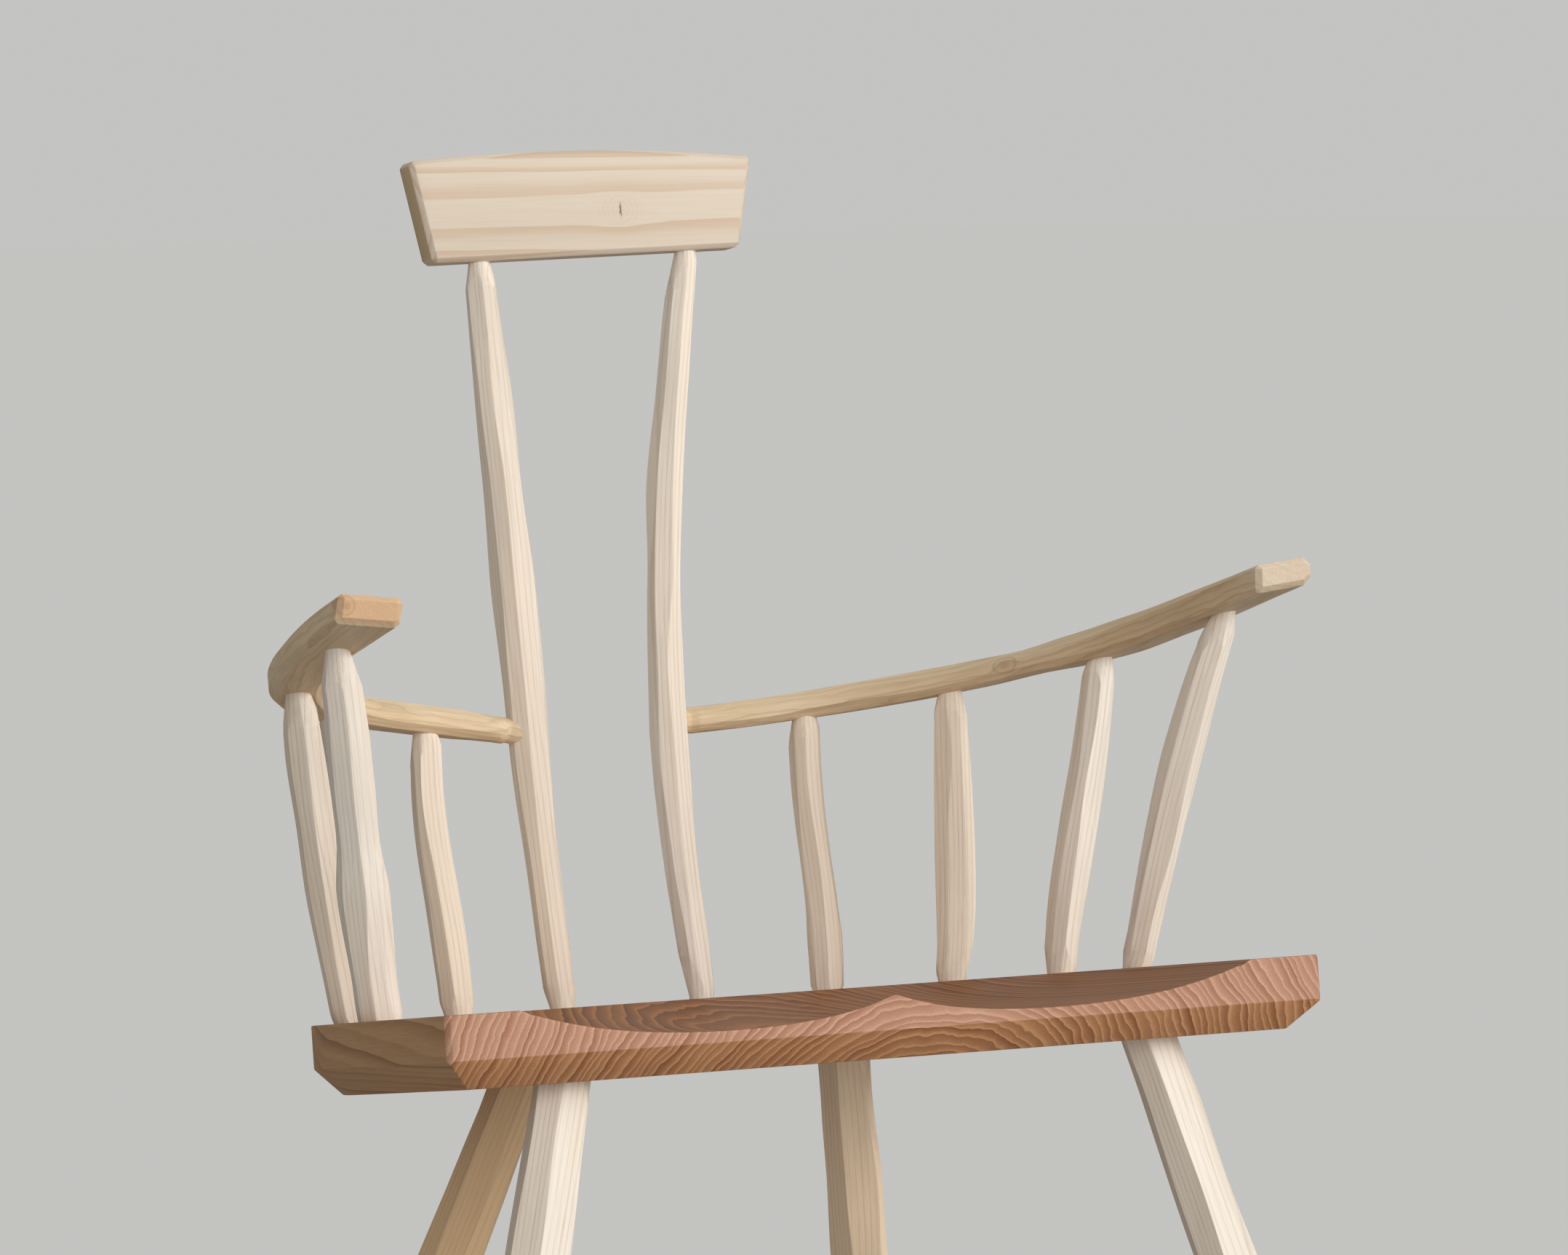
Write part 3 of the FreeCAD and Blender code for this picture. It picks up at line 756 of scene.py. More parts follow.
def whittle(node, foot_tenon_width, top_tenon_width, seed, turn, swells=(0, 0), uneven=leg_flats_uneven,
            foot_angle=shoulder_angle, foot_collar=None, top_collar=None, sink=0.0):
    """Whittled limb that follows a CAD piece: a crooked blank of rough flats, shaved to its tenons.

    Swells are the shares by which it is thicker than the CAD piece, evenly spaced from foot to top.
    A collar is the width at the seat's surface of a limb that is shaved to its tenon only inside it,
    and sink is how deep a shoulder goes into its mortises.
    """
    chance = random.Random(seed)
    foot, axis = AXES[node]
    side = square_to(axis, Vector((1, 0, 0)))
    front = axis.cross(side)
    points = corner_points(node)
    triangles = triangles_of(node)
    length = float(((points - np.array(foot)) @ np.array(axis)).max())
    low = 0.0
    if foot_tenon_width:
        low = tenon_shoulder(points, foot, axis, foot_tenon_width, -end_margin, foot_search)[1]
    high = tenon_shoulder(points, foot, axis, top_tenon_width, length - top_search, length + end_margin)[0]

    # The blank's middle and width come from the CAD piece between its shoulders
    places = np.linspace(low + cut_margin, high - cut_margin, limb_cuts)
    cuts = [section(triangles, foot + axis * place, axis, side, front) for place in places]
    shifts = [(cut[0] - foot - axis * place) for cut, place in zip(cuts, places)]
    ends = np.concatenate([[low - end_margin], places, [high + end_margin]])
    side_shifts = [0.0] + [shift.dot(side) for shift in shifts] + [0.0]
    front_shifts = [0.0] + [shift.dot(front) for shift in shifts] + [0.0]
    widths = [(cut[1] + cut[2]) / 4 for cut in cuts]
    half_widths = [widths[0]] + widths + [widths[-1]]
    stops = max(fewest_strokes, round(length / knife_stroke) + 2)
    flats = []
    for number in range(limb_flats):
        direction = turn + 2 * math.pi * (number + chance.uniform(-flat_wander, flat_wander)) / limb_flats
        turns = [direction + chance.uniform(-uneven, uneven) for _ in range(stops)]
        flats.append((turns, [flat_depth + chance.uniform(-uneven, uneven) for _ in range(stops)]))
    count = round((length + 2 * blank_overrun) / ring_spacing)
    rings = []
    middles = []
    for place in np.linspace(-blank_overrun, length + blank_overrun, count + 1):
        shift = side * float(np.interp(place, ends, side_shifts))
        shift = shift + front * float(np.interp(place, ends, front_shifts))
        middle = foot + axis * float(place) + shift
        share = clamped(place / length)
        half_width = float(np.interp(place, ends, half_widths)) * (1 + eased(swells, share))
        rings.append(whittled_ring(middle, side, front, half_width, flats, share))
        middles.append(middle)
    piece = ring_stack(node + "_whittled", rings)
    round_edges(piece, arris_round, arris_angle)

    # The envelope of the shaved ends: a round tenon, and a tapering shoulder of flat cuts
    envelope = []
    if foot_tenon_width:
        slope = math.tan(foot_angle)
        tenon = foot_tenon_width / 2
        collar = (foot_collar or foot_tenon_width) / 2
        run = min((widest_limb - tenon) / slope, (high - low) / shoulder_share)
        envelope.append((0.0, tenon, 0))
        if foot_collar:
            envelope.append((stick_mortise_depth - collar_depth, tenon, 0))
            envelope.append((stick_mortise_depth - collar_start * collar_depth, collar, shoulder_cuts))
        else:
            envelope.append((low - sink, tenon, 0))
        envelope.append((low - sink + run, collar + run * slope, shoulder_cuts))
    else:
        envelope.append((-below_floor, widest_limb, shoulder_cuts))
    slope = math.tan(shoulder_angle)
    tenon = top_tenon_width / 2
    if top_collar:
        mouth = length - leg_mortise_depth
        run = (widest_limb - top_collar / 2) / slope
        envelope.append((mouth - run, widest_limb, shoulder_cuts))
        envelope.append((mouth + collar_start * collar_depth, top_collar / 2, shoulder_cuts))
        envelope.append((mouth + collar_depth, tenon, 0))
    else:
        run = min((widest_limb - tenon) / slope, (high - low) / shoulder_share)
        envelope.append((high + sink - run, tenon + run * slope, shoulder_cuts))
        envelope.append((high + sink, tenon, 0))
    envelope.append((length + (pared_waste if node in STICKS else 0), tenon, 0))
    first_cut = side * math.cos(turn) + front * math.sin(turn)
    shaved = [shaved_ring(foot + axis * place, first_cut, axis.cross(first_cut), radius, cuts)
              for place, radius, cuts in envelope]
    cut_with(piece, ring_stack("envelope", shaved), "INTERSECT")
    return piece, (middles, side, front, seed, cleft_side, cleft_spread)


def grain_places(points, middles, side, front, seed, pith_side=math.pi, pith_spread=math.pi):
    """Places of points in a limb's own log, which follows its bends, with the pith on the Z axis.

    The pith lies to the limb's pith side, give or take the spread.
    """
    chance = random.Random(seed)
    from_pith = chance.uniform(*pith_distances)
    pith_turn = pith_side + pith_spread * chance.uniform(-1, 1)
    start = chance.uniform(0, log_length)
    line = np.array(middles)
    steps = np.diff(line, axis=0)
    lengths = np.linalg.norm(steps, axis=1)
    reached = np.concatenate([[0], np.cumsum(lengths)])
    share = np.einsum("vsk,sk->vs", points[:, None] - line[None, :-1], steps) / lengths ** 2
    share = np.clip(share, 0, 1)
    nearest = line[None, :-1] + share[:, :, None] * steps[None]
    distance = np.linalg.norm(points[:, None] - nearest, axis=2)
    best = distance.argmin(axis=1)
    row = np.arange(len(points))
    away = points - nearest[row, best]
    sides = np.array(side).reshape(-1, 3)
    fronts = np.array(front).reshape(-1, 3)
    sides = sides[best] if len(sides) > 1 else sides
    fronts = fronts[best] if len(fronts) > 1 else fronts
    across = (away * sides).sum(axis=1)
    forward = (away * fronts).sum(axis=1)
    along = reached[best] + share[row, best] * lengths[best]
    x = across * math.cos(pith_turn) - forward * math.sin(pith_turn) + from_pith
    y = across * math.sin(pith_turn) + forward * math.cos(pith_turn)
    return np.stack([x, y, along + start], axis=1)


def lay_grain(piece, log, heart_and_warm_shade):
    """Give every point of a piece its place in its log, and the share of warm heartwood tone in its colour,
    which on the rear legs also paints the warm, bounce-lit shade under the seat.
    """
    mesh = piece.data
    points = points_of(mesh)
    grain = mesh.attributes.new("grain", "FLOAT_VECTOR", "POINT")
    grain.data.foreach_set("vector", grain_places(points, *log).astype(np.float32).ravel())
    warm = mesh.attributes.new("heart_and_warm_shade", "FLOAT", "POINT")
    warm.data.foreach_set("value", (heart_and_warm_shade * np.ones(len(points))).astype(np.float32))


def limb_inputs(tree):
    """Places on a limb in the chair's own frame and in its log, and its share of warm heartwood tone, which
    on the rear legs is also painted warm shade.
    """
    grain = add_node(tree, "Attribute", {}, attribute_name="grain").outputs["Vector"]
    heart_and_warm_shade = add_node(tree, "Attribute", {}, attribute_name="heart_and_warm_shade").outputs["Fac"]
    return object_place(tree), grain, heart_and_warm_shade


# Pale wood of the legs, posts and sticks: fine grey-brown lines of pores along the grain
pale_wood_colour = srgb(246, 238, 227)
pale_wood_line = srgb(154, 124, 98)
pale_wood_warm = srgb(238, 221, 198)
# Warm tan of heartwood; on the rear legs it is also painted warm shade, for the seat's shadow and warm
# bounce light
pale_wood_heart_and_warm_shade = srgb(230, 192, 143)
pale_wood_fibre = srgb(186, 164, 140)
pale_wood_worn = srgb(248, 242, 234)
line_strength = 0.34

# A small knot far outside every piece, for wood that shows none
no_knot = (0, 0, -9)
no_knot_size = 0.005

pale_wood, tree, shader = new_material("whittled_pale_wood")
coords, grain, heart_and_warm_shade = limb_inputs(tree)
rings = use_group(tree, rings_group, {
    "Place": grain, "Along": straight_grain, "Ring Width": 0.0031, "Waver": 0.003, "Uneven": 0.8,
    "Knot": no_knot, "Knot Size": no_knot_size})
pores = ramp(tree, rings["Ring"], [(0.0, 1), (0.14, 0.85), (0.3, 0.12), (0.9, 0.0), (1.0, 0.95)])
pores = maths(tree, "MULTIPLY", pores, summed(tree, 0.35, (rings["Year"], 0.6)))
pores = maths(tree, "MULTIPLY", pores, ramp(tree, rings["Fibre"], [(0.36, 1), (0.66, 0.65)]))
# The heartwood mask also lays painted warm shade on the rear legs
colour = layered(tree, pale_wood_colour, [
    (ramp(tree, rings["Shade"], [(0.4, 0.6), (0.68, 0)]), pale_wood_warm),
    (heart_and_warm_shade, pale_wood_heart_and_warm_shade),
    (maths(tree, "MULTIPLY", pores, line_strength), pale_wood_line),
    (ramp(tree, rings["Fibre"], [(0.3, 0.18), (0.55, 0)]), pale_wood_fibre),
    (worn_edges(tree, coords, reach=0.0016, share=0.4), pale_wood_worn)])
marks = cut_marks(tree, grain, breadth=0.011)
roughness = summed(tree, 0.48, (rings["Fibre"], 0.15), (pores, 0.15))
height = summed(tree, 0, (rings["Fibre"], 0.25), (pores, -0.3), (marks, 0.8))
set_finish(tree, shader, colour, roughness, height, bump_distance=0.00035)


def finish_limb(limb, node, log, heart_and_warm_shade):
    """Finish a whittled limb: crisp arrises, its grain, its pale wood and the CAD node it stands for."""
    smooth_by_angle(limb, limb_crisp_angle)
    apply_modifier(limb, "WEIGHTED_NORMAL", keep_sharp=True)
    lay_grain(limb, log, heart_and_warm_shade)
    hand_over(limb, pale_wood, "stick_wood", node)


# Seed, turn of the first flat, and share of warm heartwood tone of each leg; on the rear legs this share
# also paints the seat's shadow and its warm bounce light as painted shade
LEG_CUTS = {"front_left_leg": (11, 0.35, 0.0), "front_right_leg": (12, 0.2, 0.0),
            "rear_left_leg": (13, 0.5, 0.9), "rear_right_leg": (14, 0.1, 0.55)}
for node, (seed, turn, heart_and_warm_shade) in LEG_CUTS.items():
    leg, log = whittle(node, None, leg_tenon, seed, turn, top_collar=leg_collar)
    open_up(leg)
    bpy.ops.mesh.bisect(plane_co=(0, 0, 0), plane_no=(0, 0, -1), use_fill=True, clear_outer=True)
    bpy.ops.mesh.select_all(action="SELECT")
    bpy.ops.mesh.bisect(plane_co=(0, 0, leg_foot_chamfer), plane_no=(0, 0, 1))
    pick("verts", lambda v: v.co.z < hair)
    bpy.ops.transform.resize(value=(leg_foot_shrink, leg_foot_shrink, 1), center_override=AXES[node][0])
    bpy.ops.object.mode_set(mode="OBJECT")
    finish_limb(leg, node, log, heart_and_warm_shade)


# Back posts: two long whittled sticks, tenoned blind into the seat and into the crest rail.
# The one on the right has grown with a strong bow, and each takes an arm's tenon in its side.
top_tenon = 0.014
rough_flats_uneven = 0.105

# Seed, turn of the first flat, and share of heartwood of each post
POST_CUTS = {"left_back_post": (21, 0.25, 0.1), "right_back_post": (22, 0.4, 0.0)}
for node, (seed, turn, heart_and_warm_shade) in POST_CUTS.items():
    post, log = whittle(node, foot_tenon, top_tenon, seed, turn, uneven=rough_flats_uneven)
    finish_limb(post, node, log, heart_and_warm_shade)


# Arms: two naturally bent limbs, hewn flat above and below and chamfered along their edges.
# Each has a round tenon in its post, four through mortises for its sticks, and a blunt hand end.
arm_tenon = 0.0127
arm_tenon_share = 0.97
arm_spacing = 0.011
arm_stops = 9
arm_breadth_change = 0.025
arm_edge_bevel = 0.005
arm_edge_change = 0.3
arm_edge_most = 1.3
arm_edge_round = 0.0007
arm_edge_angle = math.radians(18)
arm_crisp_angle = math.radians(26)
arm_drill_length = 0.1
edge_growth = 0.35
octagon_corner_share = 1 - math.tan(math.pi / 8)
neck_spacing = 0.0015
neck_reach = 0.032
neck_blend = 0.05
neck_width = 0.0162
neck_round_reach = 0.03
neck_round_blend = 0.018
hand_margin = 0.009
hand_chamfer = 0.0034
hand_least_chamfer = 0.0004
hand_roll = math.radians(7)
hand_roll_fade = 2.5
hand_slices = (0.004, 0.001, 0.0003)
hand_step = 0.02
end_grain_depth = 0.002
arm_knot_place = Vector((0.2343, 0.1073, 0.5895))

# Shares by which each arm is thicker than its CAD piece, evenly spaced from its hand to its post
ARM_SWELLS = {
    "left": (0, 0.02, 0, -0.03, 0.03, 0.04, -0.03, 0.02, -0.03, 0.02, 0, 0, 0),
    "right": (0, 0, 0.02, 0.03, 0.09, 0.01, -0.18, -0.05, 0.02, 0.02, -0.02, 0, 0),
}

# How far each arm's end lies in front of its post's middle, and how much it leans out from there
NECKS = {"left": (0.0024, 0.07), "right": (0.0012, 0.0)}

# Chamfers of each hand's left and right edges, and the share of warm heartwood in its end grain,
# or below zero that of pale sapwood
HANDS = {"left": (0.002, 0.003, 0.85), "right": (0.002, 0.0052, -0.65)}


def hewn_ring(middle, side, top, width, thickness, chamfers, roundness=0.0):
    """Outline of a flat section with its own chamfer on each edge, shaved towards a round one."""
    a = width / 2
    b = thickness / 2
    p, q, r, s = chamfers
    corners = [(a, s - b), (a, b - p), (a - p, b), (q - a, b),
               (-a, b - q), (-a, r - b), (r - a, -b), (a - s, -b)]
    ring = []
    for (x, y), (next_x, next_y) in zip(corners, corners[1:] + corners[:1]):
        for place_x, place_y in ((x, y), ((x + next_x) / 2, (y + next_y) / 2)):
            shaved = 1 + (1 / math.hypot(place_x / a, place_y / b) - 1) * roundness
            ring.append(middle + side * (place_x * shaved) + top * (place_y * shaved))
    return ring


def arm_sections(node):
    """Middle, side, top, width and thickness of a CAD arm, step by step from its hand to its tenon."""
    points = corner_points(node)
    triangles = triangles_of(node)
    along = Vector((0, 1, 0))
    for depth in hand_slices:
        hand = end_middle(points, -along, depth)
        top = square_to(along, SEAT_UP)
        inside = section(triangles, hand + along * hand_step, along, top.cross(along), top)[0]
        along = (inside - hand).normalized()
    out_of_hand = along
    tenon_end = None
    for refined in (False, True):
        along = out_of_hand
        sections = []
        place = hand + along * hand_margin
        cut = True
        while cut:
            top = square_to(along, SEAT_UP)
            side = top.cross(along)
            cut = section(triangles, place, along, side, top)
            if cut and sections and min(cut[1:]) < arm_tenon_share * arm_tenon:
                cut = None
            if cut:
                middle, width, thickness = cut
                in_neck = refined and (middle - tenon_end).length < neck_reach
                if sections and not in_neck:
                    along = (middle - sections[-1][0]).normalized()
                sections.append((middle, side, top, width, thickness))
                place = middle + along * (neck_spacing if in_neck else arm_spacing)
        tenon_end = sections[-1][0]
    return sections


# Wood of the arms: the same log's warmer heart, with flame figure where the hewing crosses the years
arm_wood_colour = srgb(235, 214, 180)
arm_wood_warm = srgb(214, 186, 143)
arm_wood_end = srgb(224, 182, 142)
arm_wood_pale_end = srgb(232, 214, 194)
arm_wood_flame = srgb(178, 142, 98)
arm_wood_knot = srgb(150, 108, 70)
arm_wood_fibre = srgb(160, 124, 88)
arm_wood_worn = srgb(238, 222, 196)
wild_grain = 0.28
flame_strength = 0.7
arm_wood, tree, shader = new_material("hewn_arm_wood")
coords, grain, heart_and_warm_shade = limb_inputs(tree)
rings = use_group(tree, rings_group, {
    "Place": grain, "Along": wild_grain, "Ring Width": 0.0046, "Waver": 0.0095, "Uneven": 1.2,
    "Knot Size": 0.007})
arm_rings = rings["Ring"].node
flame = ramp(tree, rings["Ring"], [(0.0, 0.9), (0.12, 0.65), (0.5, 0.1), (0.92, 0.25), (1.0, 0.9)])
flame = maths(tree, "MULTIPLY", flame, summed(tree, 0.3, (rings["Year"], 0.6)))
ringed_knot = ramp(tree, rings["Knot"], [(0.42, 0), (0.55, 0.3), (0.7, 0.04), (0.86, 0.12), (0.96, 0.36)])
colour = layered(tree, arm_wood_colour, [
    (ramp(tree, rings["Shade"], [(0.36, 0.5), (0.68, 0)]), arm_wood_warm),
    (maths(tree, "MULTIPLY", flame, flame_strength), arm_wood_flame),
    (heart_and_warm_shade, arm_wood_end),
    (maths(tree, "MULTIPLY", heart_and_warm_shade, -1), arm_wood_pale_end),
    (ringed_knot, arm_wood_knot),
    (ramp(tree, rings["Fibre"], [(0.3, 0.2), (0.6, 0)]), arm_wood_fibre),
    (worn_edges(tree, coords, reach=0.002, share=0.5), arm_wood_worn)])
marks = cut_marks(tree, grain, breadth=0.014)
roughness = summed(tree, 0.42, (rings["Fibre"], 0.18))
height = summed(tree, 0, (rings["Fibre"], 0.25), (flame, -0.2), (marks, 0.7))
set_finish(tree, shader, colour, roughness, height, bump_distance=0.00035)

# Seed of each arm, and its side of the chair
ARM_CUTS = {"left": (31, -1), "right": (32, 1)}
for side_name, (seed, outward) in ARM_CUTS.items():
    node = side_name + "_arm"
    chance = random.Random(seed)
    edges = [[arm_edge_bevel * chance.uniform(1 - arm_edge_change, 1 + arm_edge_change)
              for _ in range(arm_stops)] for edge in range(4)]
    broad = [1 + chance.uniform(-arm_breadth_change, arm_breadth_change) for _ in range(arm_stops)]
    hand_left, hand_right, end_heart = HANDS[side_name]
    neck_forward, neck_lean = NECKS[side_name]
    sections = arm_sections(node)
    line = [part[0] for part in sections]
    lengths = [(after - before).length for before, after in zip(line, line[1:])]
    outline = []
    for number, (middle, side, top, width, thickness) in enumerate(sections):
        share = sum(lengths[:number]) / sum(lengths)
        octagon_cut = thickness / 2 * octagon_corner_share
        neck = min(arm_edge_bevel, octagon_cut)
        from_end = (middle - line[-1]).length
        from_neck = clamped((from_end - neck_reach) / neck_blend)
        roundness = 1 - clamped((from_end - neck_round_reach) / neck_round_blend)
        width *= 1 + (eased(broad, share) - 1) * from_neck
        thickness *= 1 + eased(ARM_SWELLS[side_name], share) * from_neck
        width = max(width, neck_width * (1 - from_neck))
        thickness = max(thickness, neck_width * (1 - from_neck))
        forward = neck_forward + neck_lean * min(from_end, neck_reach)
        middle = middle - Vector((0, forward * (1 - from_neck), 0))
        grown = min(1.0, share / edge_growth)
        chamfers = []
        for edge, hand_edge in zip(edges, (hand_left, hand_right, hand_right, hand_left)):
            chamfer = hand_edge * (1 - grown) + min(eased(edge, share), arm_edge_most * octagon_cut) * grown
            chamfers.append(neck + (chamfer - neck) * from_neck)
        roll_turn = -outward * hand_roll * max(0, 1 - hand_roll_fade * share)
        roll = Matrix.Rotation(roll_turn, 3, side.cross(top))
        outline.append((middle, roll @ side, roll @ top, width, thickness, chamfers, roundness))

    # The hand's end: a flat of end grain inside a chamfer
    middle, side, top, width, thickness, chamfers, roundness = outline[0]
    inward = (line[1] - line[0]).normalized()
    end = middle - inward * hand_margin
    end_width = width - 2 * hand_chamfer
    end_thickness = thickness - 2 * hand_chamfer
    end_cut = octagon_corner_share * hand_chamfer
    end_chamfers = [max(hand_least_chamfer, chamfer - end_cut) for chamfer in chamfers]
    outline[0] = (end + inward * hand_chamfer, side, top, width, thickness, chamfers)
    outline.insert(0, (end, side, top, end_width, end_thickness, end_chamfers))
    arm = ring_stack(side_name + "_arm_limb", [hewn_ring(*part) for part in outline])
    round_edges(arm, arm_edge_round, arm_edge_angle)
    holes = []
    for number in (1, 2, 3, 4):
        stick = side_name + "_arm_stick_" + str(number)
        axis = AXES[stick][1]
        tip = end_middle(corner_points(stick + "_wedge"), -axis)
        bottom = tip - axis * (arm_drill_length / 2)
        holes.append((bottom, axis, arm_drill_length, top_tenon + 2 * bore_clearance))
    bore(arm, holes)
    smooth_by_angle(arm, arm_crisp_angle)
    apply_modifier(arm, "WEIGHTED_NORMAL", keep_sharp=True)
    log = (line, [part[1] for part in sections], [part[2] for part in sections], seed)
    behind_end = (points_of(arm.data) - np.array(end)) @ np.array(inward) - hand_chamfer
    lay_grain(arm, log, end_heart * np.clip(1 - behind_end / end_grain_depth, 0, 1))
    if side_name == "right":
        arm_rings.inputs["Knot"].default_value = grain_places(np.array([arm_knot_place]), *log)[0]
    hand_over(arm, arm_wood, "arm_wood", node)


# Arm sticks: four whittled sticks under each arm, tenoned blind into the seat's rim.
# Their upper tenons go through the arm, and are sawn for wedges and pared just proud of it.
stick_wedge_slot = 0.0027
stick_wedge_depth = 0.012
slot_overrun = 1.3
wedge_end_slope = 0.7
proud_of_arm = 0.0001
stick_shoulder_sink = 0.006

# Sticks that are thicker or thinner than their CAD piece, from foot to top, or shaved another way
STICK_SWELLS = {
    "left_arm_stick_4": (0.22, 0.2, 0.14, 0.12, -0.08, 0.03, 0.14, 0.18, 0),
    "right_arm_stick_1": (0, 0, 0.03, -0.08, -0.1, -0.08, -0.04, 0, 0),
}
FOOT_ANGLES = {"right_arm_stick_1": math.radians(20)}
FOOT_COLLARS = {"left_arm_stick_4": 0.0225}

# Seed, turn of the first flat, and share of heartwood of each stick
STICK_CUTS = {
    "left_arm_stick_1": (41, 0.1, 0.1), "left_arm_stick_2": (42, 0.3, 0.05),
    "left_arm_stick_3": (43, 0.5, 0.03), "left_arm_stick_4": (44, 0.2, 0.0),
    "right_arm_stick_1": (45, 0.4, 0.12), "right_arm_stick_2": (46, 0.0, 0.1),
    "right_arm_stick_3": (47, 0.3, 0.0), "right_arm_stick_4": (48, 0.6, 0.0),
}


def wedge_head(node):
    """Middle of the pared end of a limb's wedge, the end's normal, and the wedge's long direction."""
    axis = AXES[node][1]
    triangles = triangles_of(node + "_wedge")
    normals = np.cross(triangles[:, 1] - triangles[:, 0], triangles[:, 2] - triangles[:, 0])
    upward = normals @ np.array(axis) > wedge_end_slope * np.linalg.norm(normals, axis=1)
    corners = triangles[upward].reshape(-1, 3)
    middle = (corners.min(axis=0) + corners.max(axis=0)) / 2
    long_way = np.linalg.svd(corners - corners.mean(axis=0))[2][0]
    return Vector(middle), Vector(normals[upward].sum(axis=0)).normalized(), Vector(long_way)


def slot_for_wedge(piece, node, long_way):
    """Saw the slot that a tenon's wedge is driven into, along the wedge."""
    axis = AXES[node][1]
    tip = end_middle(corner_points(node + "_wedge"), -axis)
    along_slot = square_to(axis, long_way)
    turn = Matrix((along_slot, axis.cross(along_slot), axis)).transposed().to_euler()
    bpy.ops.mesh.primitive_cube_add(
        size=1, location=tip + axis * stick_wedge_depth, rotation=turn,
        scale=(slot_overrun * top_tenon, stick_wedge_slot, 2 * stick_wedge_depth))
    cut_with(piece, named("saw_slot"))


for node, (seed, turn, heart_and_warm_shade) in STICK_CUTS.items():
    stick, log = whittle(node, foot_tenon, top_tenon, seed, turn, STICK_SWELLS.get(node, (0, 0)),
                         uneven=rough_flats_uneven, foot_angle=FOOT_ANGLES.get(node, shoulder_angle),
                         foot_collar=FOOT_COLLARS.get(node), sink=stick_shoulder_sink)
    pared, flush, long_way = wedge_head(node)
    slot_for_wedge(stick, node, long_way)
    open_up(stick)
    bpy.ops.mesh.bisect(plane_co=pared + flush * proud_of_arm, plane_no=flush,
                        use_fill=True, clear_outer=True)
    bpy.ops.object.mode_set(mode="OBJECT")
    finish_limb(stick, node, log, heart_and_warm_shade)


# Wedges: thin slips of darker hardwood, driven into the sawn tenons of the arm sticks and pared flush,
# so that only their end grain shows. The CAD pieces have their shape already.
wedge_colour = srgb(150, 106, 68)
wedge_dark = srgb(96, 62, 38)
wedge_wood, tree, shader = new_material("wedge_end_grain")
rings = use_group(tree, rings_group, {
    "Place": object_place(tree), "Along": straight_grain, "Ring Width": 0.0014, "Waver": 0.002,
    "Uneven": 1.2, "Knot": no_knot, "Knot Size": no_knot_size})
colour = layered(tree, wedge_colour, [
    (ramp(tree, rings["Ring"], [(0.2, 0), (0.9, 0.7)]), wedge_dark),
    (ramp(tree, rings["Fibre"], [(0.3, 0.5), (0.6, 0)]), wedge_dark)])
roughness = summed(tree, 0.5, (rings["Fibre"], 0.2))
set_finish(tree, shader, colour, roughness, rings["Fibre"], bump_distance=0.0002)
for node in STICKS:
    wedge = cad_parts[node + "_wedge"]
    wedge.data.materials.clear()
    wedge.data.materials.append(wedge_wood)


# Crest rail: a short board of pale wood with an arched top and sloping ends, chamfered all round.
# It is bored from below for the tenons of the two posts. One knot with a crack shows in its face.
crest_top_length = 0.242
crest_bottom_length = 0.217
crest_height = 0.063
crest_above_seat = 0.485
crest_arch = 0.0055
crest_arch_cuts = 27
crest_slope = 0.003
crest_thickness = 0.022
crest_bevel = 0.003
crest_bevel_angle = math.radians(30)
crest_middle_back = 0.391
crest_edge_round = 0.0005
crest_edge_angle = math.radians(20)
crest_crisp_angle = math.radians(16)
crest_bore_room = 0.0005
crest_drill_length = 0.07
crest_waist = crest_above_seat + crest_height / 2


def along_crest_top(edge):
    """True on the two long edges of the board's top."""
    first, second = (vertex.co for vertex in edge.verts)
    return min(first.z, second.z) > crest_waist and abs(first.x - second.x) > crest_top_length / 2


bpy.ops.mesh.primitive_cube_add(size=1, location=(0, crest_middle_back, crest_waist),
                                scale=(crest_top_length, crest_thickness, crest_height))
crest = named("crest_board")
bpy.ops.object.mode_set(mode="EDIT")
pick("verts", lambda v: v.co.z < crest_waist)
bpy.ops.transform.resize(value=(crest_bottom_length / crest_top_length, 1, 1),
                         center_override=(0, crest_middle_back, crest_above_seat))
for hand in (-1, 1):
    pick("verts", lambda v: v.co.z < crest_waist and v.co.x * hand > 0)
    bpy.ops.transform.translate(value=(0, 0, hand * crest_slope))
pick("edges", along_crest_top)
bpy.ops.mesh.subdivide(number_cuts=crest_arch_cuts)
bpy.ops.object.mode_set(mode="OBJECT")
for vertex in crest.data.vertices:
    if vertex.co.z > crest_waist:
        vertex.co.z += crest_arch * (1 - (2 * vertex.co.x / crest_top_length) ** 2)
bpy.ops.object.mode_set(mode="EDIT")
bpy.ops.mesh.select_mode(type="EDGE")
bpy.ops.mesh.select_all(action="DESELECT")
bpy.ops.mesh.edges_select_sharp(sharpness=crest_bevel_angle)
bpy.ops.mesh.bevel(offset=crest_bevel, segments=1)
bpy.ops.object.mode_set(mode="OBJECT")
round_edges(crest, crest_edge_round, crest_edge_angle)
crest.data.transform(seat_place)
holes = []
for node in POSTS:
    axis = AXES[node][1]
    top = end_middle(corner_points(node), axis)
    holes.append((top + axis * crest_bore_room, -axis, crest_drill_length, top_tenon + 2 * bore_clearance))
bore(crest, holes)
smooth_by_angle(crest, crest_crisp_angle)

